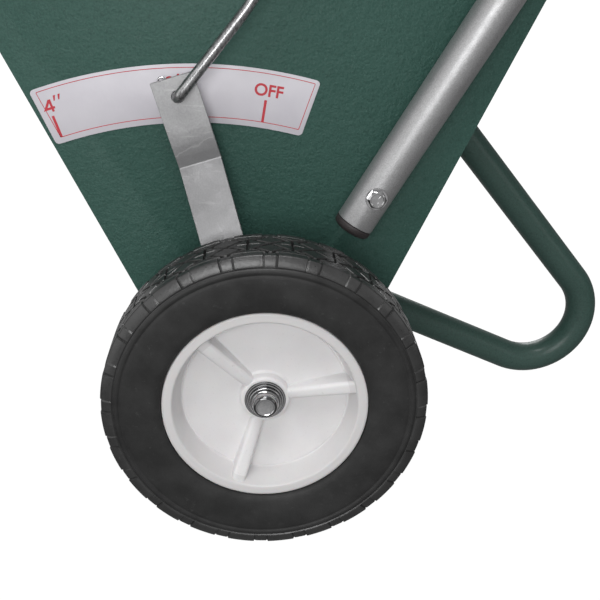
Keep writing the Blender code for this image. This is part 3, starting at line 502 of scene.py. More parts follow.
def carved(name, bm, holes=(), bevel=0.0, angle=30):
    """The mesh with holes cut through it and its edges eased, as an object with no modifiers left."""
    obj = loose(name, bm)
    cutters = [loose("cutter", hole) for hole in holes]
    for cutter in cutters:
        modifier = obj.modifiers.new("Hole", "BOOLEAN")
        modifier.operation = "DIFFERENCE"
        modifier.solver = "EXACT"
        modifier.object = cutter
    if bevel:
        modifier = obj.modifiers.new("Bevel", "BEVEL")
        modifier.width = bevel
        modifier.segments = 2
        modifier.limit_method = "ANGLE"
        modifier.angle_limit = radians(angle)
    bpy.context.view_layer.update()
    evaluated = obj.evaluated_get(bpy.context.evaluated_depsgraph_get())
    mesh = bpy.data.meshes.new_from_object(evaluated)
    mesh.name = name
    obj.modifiers.clear()
    obj.data = mesh
    for cutter in cutters:
        bpy.data.objects.remove(cutter)
    return obj


def thick_line(points, thickness):
    """The closed outline of a strip of even thickness along 2D points."""
    middle_line = [Vector(p) for p in points]
    left, right = [], []
    last = len(middle_line) - 1
    for i, at in enumerate(middle_line):
        into = (at - middle_line[i - 1]).normalized() if i else (middle_line[1] - at).normalized()
        out = (middle_line[i + 1] - at).normalized() if i < last else into
        along = (into + out).normalized()
        normal = Vector((-along.y, along.x)) * thickness / 2 / along.dot(into)
        left.append(tuple(at + normal))
        right.append(tuple(at - normal))
    return left + right[::-1]


def bar(start, end, radius, sides=40):
    return swept([start, end], radius, sides)


def across_bore(place, near, far, radius, sides=40):
    """A cutter along Y through this (x, z) place, between two distances in metres."""
    return bar(Vector((place.x, near, place.z)), Vector((place.x, far, place.z)), radius, sides)


def eased(path, radius, sides, ease):
    """A round bar whose ends are chamfered."""
    path = [Vector(p) for p in path]
    first = path[0] + (path[1] - path[0]).normalized() * ease
    last = path[-1] + (path[-2] - path[-1]).normalized() * ease
    points = [path[0], first, *path[1:-1], last, path[-1]]
    radii = [radius - ease] + [radius] * (len(points) - 2) + [radius - ease]
    return swept(points, radius, sides, radii)


def box(low, high):
    low, high = Vector(low), Vector(high)
    outline = [(low.x, low.y), (high.x, low.y), (high.x, high.y), (low.x, high.y)]
    return extruded(outline, low.z, high.z)


def bent(corners, radius, thickness):
    """The outline of a strip that is bent at each corner to this radius on its middle line."""
    path = rounded([(*c, 0) for c in corners], radius, radians(10))
    return thick_line([(p.x, p.y) for p in path], thickness)


def refined(node, bevel):
    """A copy of a CAD sheet with its edges eased."""
    mesh = NODES[node].data.copy()
    mesh.transform(NODES[node].matrix_world)
    bm = taken(mesh)
    bmesh.ops.dissolve_limit(bm, angle_limit=radians(0.5), verts=bm.verts, edges=bm.edges)
    settle(carved(f"{node}_eased", bm, bevel=bevel, angle=40), node)


UPRIGHT = axes(X, Z, -Y)  # (x, z) outlines, extruded along -Y
XZ = Matrix.Translation((AXLE.x, 0, 0)) @ UPRIGHT  # the same, with x counted from the axle
LEAN = Matrix.Translation(AXLE) @ Matrix.Rotation(ARM_REST, 4, "Y")


# ---------------------------------------------------------------- wheels

PITCHES = 24
PITCH = 2 * pi * WHEEL_R / PITCHES
NARROW = 4.1 * MM  # half the length of a narrow shoulder block
GROOVE = 2.4 * MM
BAND = 13.7 * MM  # where the shoulder blocks begin, from the middle plane
TREAD_PHASE = radians(5.4)
RIB_ANGLES = 12, 132, 252


def smooth_step(x):
    x = np.clip(x, 0, 1)
    return x * x * (3 - 2 * x)


def groove(distance, half_width, depth, wall=0.4 * MM):
    """Depth of a groove at this distance from its middle line."""
    return depth * smooth_step((half_width + wall - distance) / wall)


def segment_distance(s, t, a, b):
    """Distance of the points (s, t) from the segment a-b."""
    ab = np.subtract(b, a)
    along = np.clip(((s - a[0]) * ab[0] + (t - a[1]) * ab[1]) / (ab @ ab), 0, 1)
    return np.hypot(s - a[0] - along * ab[0], t - a[1] - along * ab[1])


def tread_depth(s, t, shoulder):
    """How deep the pattern is at s round the pitch and t across; shoulder is 1 on the side band's blocks."""
    depth = np.zeros(np.broadcast(s, t).shape)
    row, length, width = 7.0 * MM, 8.6 * MM, 6.0 * MM
    slope = hypot(1 / length, 1 / width)
    for side in (-1, 1):
        outside = (np.abs(s) / length + np.abs(t - side * row) / width - 1) / slope
        tip = smooth_step((1.5 * MM - np.abs(s)) / (0.5 * MM)) * (t * side > row)
        depth = np.maximum(depth, groove(np.abs(outside - 0.7 * MM), 0.6 * MM, GROOVE) * (1 - tip))
    half = PITCH / 2
    for end in (-half, half):
        back = -np.sign(end)
        slots = [((end, -8.5 * MM), (end, 8.5 * MM)), ((end, 0), (end + back * 6.5 * MM, 0))]
        for side in (-1, 1):
            slots.append(((end, side * 8.5 * MM), (end + back * 6 * MM, side * 11.6 * MM)))
        for a, b in slots:
            depth = np.maximum(depth, groove(segment_distance(s, t, a, b), 0.5 * MM, GROOVE))
    edge = smooth_step((np.abs(t) - BAND) / (0.5 * MM))
    inside = smooth_step((NARROW - np.abs(s)) / (0.35 * MM) + 0.5)
    sipe = groove(np.abs(np.abs(s) - NARROW), 0.25 * MM, 0.9 * MM, 0.3 * MM)
    gutter = groove(np.abs(np.abs(t) - BAND), 0.3 * MM, 1.2 * MM)
    band = np.maximum(0.5 * MM * inside, sipe)
    tread = np.maximum(depth * (1 - edge), gutter * (1 - shoulder))
    return np.maximum(tread, band * np.maximum(edge, shoulder))


def tyre_section(crown_rows):
    """(radius, offset, patterned) down the outer half of the section, from bead to crown."""
    wall = [
        (64.6, 16.5), (64.6, 18.6), (65.2, 19.7), (66.5, 20.5), (69, 21.2), (73, 21.7), (78, 22.0),
        (84, 22.1), (87.4, 22.0), (88.6, 21.8), (89.2, 21.6), (89.6, 21.5), (90.0, 21.6), (90.5, 21.9),
        (91.2, 22.1), (92.0, 22.1), (92.7, 21.9), (93.2, 21.5), (93.5, 21.1), (93.8, 20.95), (94.1, 21.1),
        (94.4, 21.3),
    ]  # fmt: skip
    band = [(94.6 + 6.1 * k / 14, 21.4 - 2.2 * (k / 14) ** 1.6) for k in range(15)]
    corner = [(101.1, 18.95), (101.35, 18.6), (101.5, 18.1)]
    shares = [k / crown_rows for k in range(crown_rows + 1)]
    flat = [(101.52 + 0.08 * sin(pi / 2 * t), 17.6 * (1 - t)) for t in shares]
    rows = [(r, h, 0) for r, h in wall] + [(r, h, 1) for r, h in band + corner]
    return rows + [(r, h, int(h * MM >= BAND + 0.4 * MM)) for r, h in flat]


def tyre(name, node, side, pitch_steps, crown_rows):
    """The tyre as one dense surface, with its tread and shoulder blocks pressed into it."""
    half = tyre_section(crown_rows)
    rows = np.array(half + [(r, -h, p) for r, h, p in half[-2::-1]])
    radius, offset, marked = rows[:, 0] * MM, rows[:, 1] * MM, rows[:, 2]
    normals = np.stack([-np.gradient(offset), np.gradient(radius)], 1)
    normals /= np.linalg.norm(normals, axis=1)[:, None]
    steep = np.abs(offset) > 17.8 * MM
    flip = np.where(steep, np.sign(normals[:, 1]) * np.sign(offset), np.sign(normals[:, 0]))
    out_r, out_h = normals[:, 0] * flip, normals[:, 1] * flip
    steps, across = PITCHES * pitch_steps, len(rows)
    s = ((np.arange(steps) / pitch_steps) % 1 - 0.5) * PITCH
    grid_s, grid_t = np.meshgrid(s, offset, indexing="ij")
    depth = tread_depth(grid_s, grid_t, np.broadcast_to(marked, grid_s.shape))
    depth = np.where(radius > 94.5 * MM, depth, 0)
    r = radius - out_r * depth
    h = offset - out_h * depth
    angle = (TREAD_PHASE + 2 * pi * np.arange(steps) / steps)[:, None]
    co = np.stack([r * np.cos(angle) + AXLE.x, middle(node).y + side * h, r * np.sin(angle) + AXLE.z], -1)
    i, j = np.meshgrid(np.arange(steps), np.arange(across), indexing="ij")
    i2, j2 = (i + 1) % steps, (j + 1) % across
    quads = np.stack([i * across + j, i2 * across + j, i2 * across + j2, i * across + j2], -1)
    mesh = bpy.data.meshes.new(name)
    mesh.from_pydata(co.reshape(-1, 3).tolist(), [], quads.reshape(-1, 4).tolist())
    piece(name, taken(mesh), node, "tread", angle=38)


def hub(name, node, side):
    """The moulded hub with a dished web, crisp edges and three ridged ribs on its outer face."""
    outer = [
        (6.75, 7.9), (14.2, 7.9), (15.5, 6.6), (16.4, 3.1), (18.2, 2.3), (40, 2.2), (52.1, 2.2),
        (52.5, 1.5), (53.2, 1.5), (53.6, 2.6), (57.7, 17.9), (58.3, 18.6), (59.2, 18.75), (62.9, 18.75),
        (64.1, 18.3), (64.3, 17.2), (64.3, 9.6), (61.0, 7.6), (61.0, -7.6), (64.3, -9.6), (64.3, -17.6),
        (63.4, -18.6), (59.2, -18.6), (57.6, -17), (53.8, -2.0), (52, -1.0), (18.5, -1.0), (15.6, -2.4),
        (15.4, -17.2), (14.6, -18), (6.75, -18),
    ]  # fmt: skip
    centre = Vector((AXLE.x, middle(node).y, AXLE.z))
    bm = revolved(softened(outer, 0.35), centre, Y * side, 144)
    for degrees in RIB_ANGLES:
        add(bm, rib(centre, side, radians(degrees)))
    piece(name, bm, node, angle=35)


def rib(centre, side, angle):
    """A ridge from the boss into the rim's wall, with rounded shoulders, rising outwards."""
    rings = []
    for t in [k / 12 for k in range(13)]:
        r, top, width, soft = 12 + 47.5 * t, 7.0 + 10.2 * t, 3.9 + 0.8 * t, 2.9 - 0.4 * t
        turns = np.linspace(0, pi / 2, 9)
        shoulder = [(width - soft + soft * sin(a), top - soft + soft * cos(a)) for a in turns]
        right = [(0, top + 0.12), *shoulder, (width + 0.25, 2.6), (width + 1.0, 1.6)]
        left = [(-x, y) for x, y in right[:0:-1]]
        rings.append([Vector((r, y, x)) * MM for x, y in right + left])
    bm = lofted(rings)
    turn = Matrix.Rotation(-angle, 4, "Y")
    bm.transform(Matrix.Translation(centre) @ turn @ Matrix.Diagonal((1, side, 1, 1)))
    return bm


def ring_profile(radius, height, thick):
    """Points of a rolled ring's outer half, from its far side to its near side, in millimetres."""
    turns = np.linspace(pi / 2, -pi / 2, 9)
    return [(radius - thick + thick * cos(a), height + thick * sin(a)) for a in turns]


def axle_end(side, word):
    """The domed push-on cap with its stepped skirt, and the bright washers behind it."""
    face = abs(middle(f"{word}_wheel_hub").y) / MM + 7.9
    end = max(abs(corner.y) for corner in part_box(f"{word}_axle_cap")) / MM
    origin = Vector((AXLE.x, 0, AXLE.z))
    dome = [(5.5 + 2.35 * sin(a), end - 2.35 + 2.35 * cos(a)) for a in np.linspace(0, pi / 2, 10)]
    cap = [(0, end - 0.35), (4.7, end - 0.4), (5.1, end - 0.25), *dome, (7.85, end - 4.4)]
    cap += [(8.1, end - 5.0), *ring_profile(9.2, end - 6.1, 0.75), (8.4, end - 6.95)]
    cap += [*ring_profile(10.2, end - 7.6, 0.6), (9.0, end - 8.4), (0, end - 8.4)]
    bm = revolved(cap, origin, Y * side, 72)
    piece(f"{word}_cap", bm, f"{word}_axle_cap", angle=30)
    bm = bmesh.new()
    for radius, start, thick in ((13.0, face + 0.1, 0.45), (11.6, face + 1.1, 0.4)):
        rolled = ring_profile(radius, start + thick, thick)[::-1]
        add(bm, revolved([(6.7, start), *rolled, (6.7, start + 2 * thick)], origin, Y * side, 72))
    piece(f"{word}_washers", bm, f"{word}_axle_washer", angle=30)


def wheels():
    tyre("left_tread_tyre", "left_tyre", -1, 56, 52)
    tyre("right_tread_tyre", "right_tyre", 1, 40, 40)
    hub("left_hub", "left_wheel_hub", -1)
    hub("right_hub", "right_wheel_hub", 1)
    for side, word in SIDES:
        axle_end(side, word)


def turned_piece(name, node, profile, side=1, soft=0.3):
    """A part turned about the axle; the profile is in millimetres from the middle plane outwards."""
    bm = revolved(softened(profile, soft), Vector((AXLE.x, 0, AXLE.z)), Y * side, 64)
    piece(name, bm, node)


def sleeve(inner, outer, start, end):
    return [(inner, start), (outer, start), (outer, end), (inner, end)]


def axle_parts():
    """The axle, its drive pin, the bushings and spacers, and the agitator inside the hopper."""
    shaft = [(0, -236.5), (6.35, -236.5), (6.35, 236.5), (0, 236.5)]
    turned_piece("shaft", "axle_shaft", shaft, soft=0.8)
    low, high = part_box("drive_pin")
    centre = (low + high) / 2
    ends = [Vector((centre.x, centre.y, z)) for z in (low.z, high.z)]
    piece("pin", eased(ends, 1.5 * MM, 24, 0.4 * MM), "drive_pin")
    bush = [(6.75, 145.7), (16, 145.7), (16, 148.2), (10.7, 148.2), (10.7, 155.5), (6.75, 155.5)]
    for side, word in SIDES:
        turned_piece(f"{word}_bush", f"{word}_axle_bushing", bush, side)
        spacer = sleeve(6.75, 9.5, 156, 203.3)
        turned_piece(f"{word}_sleeve", f"{word}_axle_spacer", spacer, side)
    bm = revolved(softened(sleeve(6.75, 9.5, -44, 44), 0.5), AXLE, Y, 64)
    for i in range(4):
        foot = AXLE + Y * 11 * (2 * i - 3) * MM
        for a in (pi * i / 4, pi * i / 4 + pi):
            way = Vector((cos(a), 0, sin(a)))
            add(bm, eased([foot + way * 8 * MM, foot + way * 51 * MM], 2.4 * MM, 24, 0.8 * MM))
            turns = [(Y * cos(b) + way.cross(Y) * sin(b)) * 2.8 * MM for b in np.linspace(0, 2 * pi, 25)[:-1]]
            add(bm, swept([foot + way * 9.6 * MM + turn for turn in turns], 0.9 * MM, 10, closed=True))
    piece("agitator_tines", bm, "agitator")


# ---------------------------------------------------------------- scale label

LABEL_CENTRE = at(-44.6, 0, -12.0)
LABEL_EDGE = (309.0, 272.0), (19.25, -15.4), (18.75, -14.85)  # radii, then the ends of each arc
LABEL_LINE = (306.9, 275.6), (18.55, -14.85), (17.85, -14.3)
FIGURE_4 = ([(1.3, 0), (1.3, 7.9)], 1.0), ([(1.0, 7.6), (-3.1, 2.4), (3.1, 2.4)], 0.8)  # strokes, heights


def polar(radius, angle):
    """A point on the label's face; left of vertical is a positive angle."""
    return Vector((radius * sin(-angle), radius * cos(angle)))


def label_outline(radii, ends, corner, steps=40):
    """A closed strip between two arcs; ends are (left, right) angles on the outer arc, then the inner."""
    (outer, inner), ((a, b), (d, c)) = radii, ends
    hooks = [polar(outer, a), polar(outer, b), polar(inner, c), polar(inner, d)]
    outline = []
    for radius, start, end, k in ((outer, a, b, 1), (inner, c, d, 3)):
        here, after = hooks[k], hooks[(k + 1) % 4]
        trim = corner / radius if end > start else -corner / radius
        outline += [polar(radius, t) for t in np.linspace(start + trim, end - trim, steps)]
        way = (after - here).normalized() * corner
        other = inner if radius == outer else outer
        reach = c + corner / other if radius == outer else a - corner / other
        for first, tip, last in ((outline[-1], here, here + way), (after - way, after, polar(other, reach))):
            outline += arc_between(first, tip, last, (0.2, 0.4, 0.6, 0.8))
    return [tuple(p) for p in outline]


def lettering(text, base, size, bold, place, depth):
    """A word or figure as a mesh, centred at this height in the place's own plane."""
    curve = bpy.data.curves.new("setting", "FONT")
    curve.body = text
    curve.size = size
    curve.align_x = "CENTER"
    curve.offset = bold
    curve.extrude = depth / 2
    words = bpy.data.objects.new("setting", curve)
    bpy.context.scene.collection.objects.link(words)
    words.matrix_world = place @ Matrix.Translation((0, base, depth / 2))
    bpy.context.view_layer.update()
    mesh = bpy.data.meshes.new_from_object(words.evaluated_get(bpy.context.evaluated_depsgraph_get()))
    mesh.transform(words.matrix_world)
    bpy.data.objects.remove(words)
    return mesh


def label_ring(edge, corner, inset=0.0):
    """A label outline from millimetres and degrees."""
    (outer, inner), *ends = edge
    trims = (inset / outer, inset / inner)
    turned = [(radians(left) - trim, radians(right) + trim) for (left, right), trim in zip(ends, trims)]
    return label_outline(((outer - inset) * MM, (inner + inset) * MM), turned, corner * MM)


def frame_line(plane, low, high):
    """The thin closed line just inside the label's edge."""
    ring, inner = label_ring(LABEL_LINE, 1.0), label_ring(LABEL_LINE, 0.7, 0.45)
    edges = (ring, low), (ring, high), (inner, high), (inner, low)
    bm = lofted([[(u, v, w) for u, v in points] for points, w in edges], closed=True)
    bm.transform(plane)
    return bm


def label():
    """The scale label: white film with a thin red frame, tick marks and the outlet settings."""
    back, face = sorted(-corner.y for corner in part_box("scale_label"))
    plane = axes(X, Z, -Y, LABEL_CENTRE)
    film = extruded(label_ring(LABEL_EDGE, 3.4), back, face - 0.12 * MM, plane)
    settle(carved("label_film_piece", film, bevel=0.05 * MM), "scale_label")
    low, high = face - 0.2 * MM, face - 0.06 * MM
    ink = {"node": "scale_label", "material": "ink", "replaces": False}
    piece("label_frame_line", frame_line(plane, low, high), **ink)

    def standing(angle):
        return plane @ Matrix.Translation((0, 0, low)) @ Matrix.Rotation(radians(angle), 4, "Z")

    def printed(name, bm, angle, x=0.0, y=0.0):
        """Lays a shape drawn in mm, one high, on the label at this angle."""
        foot = standing(angle) @ Matrix.Translation((x * MM, y * MM, 0))
        bm.transform(foot @ Matrix.Diagonal((MM, MM, high - low, 1)))
        piece(name, bm, **ink)

    for text, tick_at, text_at, base, size, bold in (
        ("4", 17.68, 17.6, 292.4, None, None),  # drawn in strokes, not set in type
        ("2", 1.4, 2.5, 293.3, 11.8, 0.1 * MM),
        ("OFF", -9.3, -9.5, 292.6, 10.6, 0.24 * MM),
    ):
        tick = [(-0.85, 276.0), (0.85, 276.0), (0.85, 290.0), (-0.85, 290.0)]
        printed(f"label_tick_{text}", extruded(tick, 0, 1), tick_at)
        if text == "4":
            figure = bmesh.new()
            for stroke, top in FIGURE_4:
                add(figure, extruded(thick_line(stroke, 1.5), 0, top))
            printed("label_text_4", figure, text_at, 0, base)
        else:
            mesh = lettering(text, base * MM, size * MM, bold, standing(text_at), high - low)
            settle(bpy.data.objects.new(f"label_text_{text}", mesh), **ink)
        for k in range(0 if text == "OFF" else 2):
            prime = extruded([(-0.4, 0), (0.4, 0), (1.9, 3.3), (0.4, 3.3)], 0, 1)
            printed(f"label_prime_{text}_{k}", prime, text_at, 4.2 + 3.1 * k, base + 6.2)


# ---------------------------------------------------------------- handle

TUBE_R = 12.7 * MM
HANDLE_TILT = radians(31)
HANDLE_DIR = Vector((sin(HANDLE_TILT), 0, cos(HANDLE_TILT)))
HANDLE_FOOT = at(60.3, 0, 196.7)
HANDLE_Y = 164 * MM
JOINT = 560  # where the upper handle is pushed into the tubes, in mm along them
BAR_AT = 856  # the push bar's middle line
PIVOT = HANDLE_FOOT + HANDLE_DIR * 470 * MM
BOLT_HOLE_R = 3.6 * MM


def on_handle(side, along):
    return HANDLE_FOOT + HANDLE_DIR * along * MM + Y * side * HANDLE_Y


def handle():
    """Smooth tubes, end plugs, crossbar, brace and grip."""
    plug = [
        (0, -6.3), (7.5, -6.25), (10.2, -5.9), (11.9, -5.0), (12.6, -3.7), (12.75, -2.0), (12.75, -0.9),
        (12.5, -0.35), (11.2, -0.35), (11.2, 11), (0, 11),
    ]  # fmt: skip
    for side, word in SIDES:
        foot = on_handle(side, 0)
        bm = revolved(softened(sleeve(11.5, 12.7, 0, JOINT), 0.35), foot, HANDLE_DIR, 72)
        piece(f"{word}_lower_tube", bm, f"{word}_handle_tube")
        bm = revolved(plug, foot, HANDLE_DIR, 56)
        piece(f"{word}_plug", bm, f"{word}_tube_plug", angle=35)
    left, right = [[on_handle(side, JOINT + s) for s in (-45, 0.6, 3.6)] for side in (-1, 1)]
    corners = [left[-1], on_handle(-1, BAR_AT), on_handle(1, BAR_AT), right[-1]]
    bends = rounded(corners, 60 * MM, radians(5))
    path = left[:-1] + bends + right[-2::-1]
    narrow = [11.0 * MM] * 2
    bm = swept(path, TUBE_R, 56, narrow + [TUBE_R] * len(bends) + narrow)
    piece("push_bar", bm, "upper_handle")
    half = 95.0
    ribs = []
    for y in [-81.25 + 6.5 * k for k in range(26)]:
        ribs += [(16.9, y - 2.2), (16.9, y + 2.2), (16.2, y + 2.7), (16.2, y + 3.8)]
    grip = [(r, h - half) for r, h in ((13.0, 0), (15.4, 0), (16.6, 1.2), (17, 3), (17, 8), (16.4, 9))]
    grip += ribs + [(r, -h) for r, h in grip[::-1]]
    bm = revolved(grip, HANDLE_FOOT + HANDLE_DIR * BAR_AT * MM, Y, 64)
    piece("push_grip", bm, "handle_grip", angle=35)
    outline = bent([(-149.3, 24), (-149.3, 0), (149.3, 0), (149.3, 24)], 4, 3)
    turn = axes(Y, HANDLE_DIR, Y.cross(HANDLE_DIR), HANDLE_FOOT + HANDLE_DIR * 528 * MM)
    bm = extruded(metres(outline), -10 * MM, 10 * MM, turn)
    hole = across_bore(HANDLE_FOOT + HANDLE_DIR * 540 * MM, -0.2, 0.2, BOLT_HOLE_R)
    settle(carved("brace", bm, [hole], bevel=0.5 * MM), "cross_brace")


# ---------------------------------------------------------------- fasteners

FLAT = 5.54  # half the width across the flats, in millimetres
THREAD = 1.27  # pitch, in millimetres
HEX_SIDES = 60  # points round a ring, ten to a flat
HANDLE_BOLTS = (23.3, "lower_handle", 0.45), (200, "upper_handle", 0.1), (540, "joint", 0.8)


def hexagons(*rings):
    """A skin over (limit, height) rings in mm that follow the hexagon, but no further out than the limit."""
    turns = [2 * pi * k / HEX_SIDES for k in range(HEX_SIDES)]
    out = []
    for limit, height in rings:
        reach = [min(FLAT / cos((a + pi / 6) % (pi / 3) - pi / 6), limit) for a in turns]
        out.append([Vector((r * cos(a), r * sin(a), height)) * MM for r, a in zip(reach, turns)])
    return lofted(out)


def placed(bm, place, y, way, spin):
    """Stands a fastener, drawn upright at the origin, on the side at distance y."""
    spot = Vector((place.x, y * MM, place.z))
    bm.transform(Matrix.Translation(spot) @ facing(way) @ Matrix.Rotation(spin, 4, "Z"))
    return bm


def hex_bolt(name, node, place, side, head_y, spin):
    """A bolt with a washer face, a chamfered head with three grade dashes, and a threaded end."""
    tip = min(abs(corner.y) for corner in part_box(node)) / MM - head_y
    chamfer = [(6.4 - 1.7 * t, 2.9 + 1.15 * t) for t in (0.12, 0.35, 0.6, 0.8, 1)]
    bm = hexagons((6.1, 0), (7.0, 0.35), (7.0, 2.9), *chamfer, (4.2, 4.1), (3.9, 3.9), (0.6, 3.85))
    origin = (0, 0, 0)
    add(bm, revolved([(0, 0.9), (6.9, 0.9), (7.1, 0.6), (7.1, 0.2), (6.9, 0), (0, 0)], origin, Z, 48))
    for k in range(3):
        dash = box((1.7 * MM, -0.28 * MM, 3.5 * MM), (3.6 * MM, 0.28 * MM, 4.12 * MM))
        dash.transform(Matrix.Rotation(2 * pi * k / 3 + 0.4, 4, "Z"))
        add(bm, dash)
    shank = [(0, 0.5), (3.15, 0.5), (3.15, tip + 15)]
    for h in [tip + 15 - THREAD * k for k in range(11)]:
        shank += [(2.75, h - 0.6), (3.15, h - THREAD)]
    add(bm, revolved([*shank, (2.3, tip), (0, tip)], origin, Z, 32))
    placed(bm, place, side * head_y, Y * side, spin)
    bright = side < 0 and "lower" in node
    piece(name, bm, node, "chrome" if bright else None, angle=25)


def lock_nut(name, node, place, side, spin):
    """A nut with chamfered corners and a nylon collar on its inner end."""
    near, far = sorted(abs(corner.y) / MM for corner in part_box(node))
    tall = far - near
    collar = [(6.2, 1.3), (5.2, 1.1), (4.9, 0.5), (4.4, 0.1), (3.3, 0)]
    corners = (5.3, 0), (6.4, 0.6), (7, 1.0), (7, tall - 1.6)
    bm = hexagons(*corners, *[(limit, tall - down) for limit, down in collar])
    placed(bm, place, side * far, Y * -side, spin)
    hole = across_bore(place, side * (near - 3) * MM, side * (far + 3) * MM, 3.3 * MM)
    settle(carved(name, bm, [hole]), node, angle=25)


def fasteners():
    for side, word in SIDES:
        for along, where, spin in HANDLE_BOLTS:
            place = on_handle(side, along)
            name = f"{word}_{where}"
            hex_bolt(f"{name}_screw", f"{name}_bolt", place, side, 177, spin)
            lock_nut(f"{name}_locknut", f"{name}_nut", place, side, spin + 0.3)
    hex_bolt("pivot_screw", "control_pivot_bolt", PIVOT, -1, 182.8, 0.2)
    lock_nut("pivot_locknut", "control_pivot_nut", PIVOT, -1, 0.6)
    bm = revolved(softened(sleeve(3.6, 8, 177, 179.2), 0.3), Vector((PIVOT.x, 0, PIVOT.z)), -Y, 48)
    piece("pivot_spacer", bm, "control_pivot_washer")


# ---------------------------------------------------------------- shut-off gear

ROD_R = 3.5 * MM
ROD_HOLE_R = 3.9 * MM
CRANK = 185 * MM
STRAP_BEND, STRAP_THICK, STRAP_HALF = 2.3, 3, 14 * MM  # bend radius, thickness, half the width
HANGER_Y, FOOT_Y, FOOT_Z, RIVET_Y = 182.5, 160.5, -64.6, 170.5
LEVER_R = 12.5  # half the hand lever's width
SHUTTER_R = 61.3, 62.8  # inner and outer


def strap(name, node, side, corners, holes=(), material=None):
    """A bent strap that hangs from the axle, leaning with the lever."""
    outline = metres(bent([(side * y, z) for y, z in corners], STRAP_BEND, STRAP_THICK))
    bm = extruded(outline, -STRAP_HALF, STRAP_HALF, axes(Y, Z, X))
    bore = bar((0, side * 0.1, 0), (0, side * 0.21, 0), 10 * MM, 56)
    rivet = bar((0, side * RIVET_Y * MM, -80 * MM), (0, side * RIVET_Y * MM, -50 * MM), 2.7 * MM)
    obj = carved(name, bm, [bore, rivet, *holes], bevel=0.3 * MM, angle=28)
    obj.data.transform(LEAN)
    settle(obj, node, material, angle=22)


def gate():
    """The lever and its hanger, the curved shutter with its two windows, and the rivets between them."""
    crown = [(163, 197), (163, 163), (162.8, 155), (162.4, 148), (161.8, 141.2)]
    foot = [(HANGER_Y, FOOT_Z), (FOOT_Y, FOOT_Z)]
    hole = bar((0, -0.12, CRANK), (0, -0.2, CRANK), ROD_HOLE_R)
    strap("lever_strap", "shutoff_lever", -1, [*crown, (HANGER_Y, 91), *foot], [hole], "lever")
    strap("hanger_strap", "gate_hanger", 1, [(HANGER_Y, 20), *foot])
    inner, outer = SHUTTER_R
    turns = np.linspace(-pi / 2 + radians(13.5), -pi / 2 - radians(52), 40)
    outline = [(r * cos(a), r * sin(a)) for r, way in ((outer, 1), (inner, -1)) for a in turns[::way]]
    windows = []
    for degrees, length in ((-16.4, 50.8), (-40, 101.6)):
        window = box((-6.7 * MM, -length / 2 * MM, -68 * MM), (6.7 * MM, length / 2 * MM, -56 * MM))
        window.transform(Matrix.Rotation(-radians(degrees), 4, "Y"))
        windows.append(window)
    bm = taken(carved("shutter", extruded(metres(outline), -147 * MM, 147 * MM, UPRIGHT), windows).data)
    for low, high in ((-180, -145), (145, 180)):
        add(bm, box((-STRAP_HALF, low * MM, -outer * MM), (STRAP_HALF, high * MM, -inner * MM)))
    bm.transform(LEAN)
    piece("shutter_plate", bm, "gate_plate", angle=25)
    top, bottom = -61.0, -66.4
    dome = [(0, 1.8), (1.6, 1.65), (3.0, 1.1), (3.9, 0.4), (4.2, 0)]
    under = [(r, bottom - h) for r, h in dome[::-1]]
    profile = [*[(r, top + h) for r, h in dome], (2.4, top), (2.4, bottom), *under]
    for side, word in SIDES:
        bm = revolved(profile, (0, side * RIVET_Y * MM, 0), Z, 40)
        bm.transform(LEAN)
        piece(f"{word}_gate_pin", bm, f"{word}_gate_rivet", angle=30)


def control_linkage():
    """The rod with hooked ends, its split pins, and the hand lever with its moulded grip."""
    low, high = AXLE + ARM * CRANK, PIVOT + ARM * CRANK
    lean = radians(39.5)
    y = Y * -172.5 * MM
    run = low + y + Vector((sin(lean), 0, cos(lean))) * 75 * MM
    waist = low + y + (high - low) * 0.45 - X * 0.5 * MM
    points = [low + Y * -154 * MM, low + y, run, waist, high + y, high + Y * -190 * MM]
    hook = rounded(points[:3], 6 * MM, radians(9))
    centre = rounded(points[1:5], 120 * MM, radians(2))
    top = rounded(points[3:], 6 * MM, radians(9))
    path = hook[:-1] + centre[1:-1] + top[1:]
    piece("linkage_rod", eased(path, ROD_R, 36, 0.6 * MM), "control_rod", "rod")
    for node, spot, way in (
        ("lower_cotter_pin", low + Y * -157.2 * MM, Vector((-0.78, 0, 0.626))),
        ("upper_cotter_pin", high + Y * -186 * MM, Vector((-0.96, 0, -0.28))),
    ):
        piece(f"{node}_wire", split_pin(spot, way.normalized()), node)

    turn = Matrix.Translation(PIVOT) @ Matrix.Rotation(ARM_REST, 4, "Y")
    outline = [(LEVER_R * cos(a), LEVER_R * sin(a)) for a in np.linspace(-pi, 0, 25)]
    corner = [(LEVER_R, 258), (12.0, 260.5), (10.5, 262)]
    outline += corner + [(-x, z) for x, z in corner[::-1]]
    bm = extruded(metres(outline), 179.5 * MM, 182.5 * MM, UPRIGHT)
    holes = [bar((0, -0.17, z), (0, -0.19, z), r) for z, r in ((0, BOLT_HOLE_R), (CRANK, ROD_HOLE_R))]
    obj = carved("hand_strap", bm, holes, bevel=0.4 * MM)
    obj.data.transform(turn)
    settle(obj, "control_lever")
    stations = [(196, 0.80), (196.6, 0.90), (198, 0.97), (201, 1.0), (208, 1.0)]
    for z in range(211, 256, 9):
        stations += [(z, 1.0), (z + 2.2, 0.965), (z + 4.5, 0.95), (z + 6.8, 0.965)]
    stations += [(256, 1.0), (262, 1.0), (266, 0.96), (268.6, 0.86), (269.7, 0.72), (270, 0.5)]
    rings = []
    for z, scale in stations:
        ring = []
        for c, s in [(cos(a), sin(a)) for a in np.linspace(0, 2 * pi, 49)[:-1]]:
            u = 15.6 * scale * abs(c) ** 0.55 * (1 if c > 0 else -1)
            w = 4.7 * min(1, scale + 0.04) * abs(s) ** 0.6 * (1 if s > 0 else -1)
            ring.append(turn @ (Vector((u, w - 181, z)) * MM))
        rings.append(ring)
    piece("moulded_grip", lofted(rings), "lever_grip", angle=50)


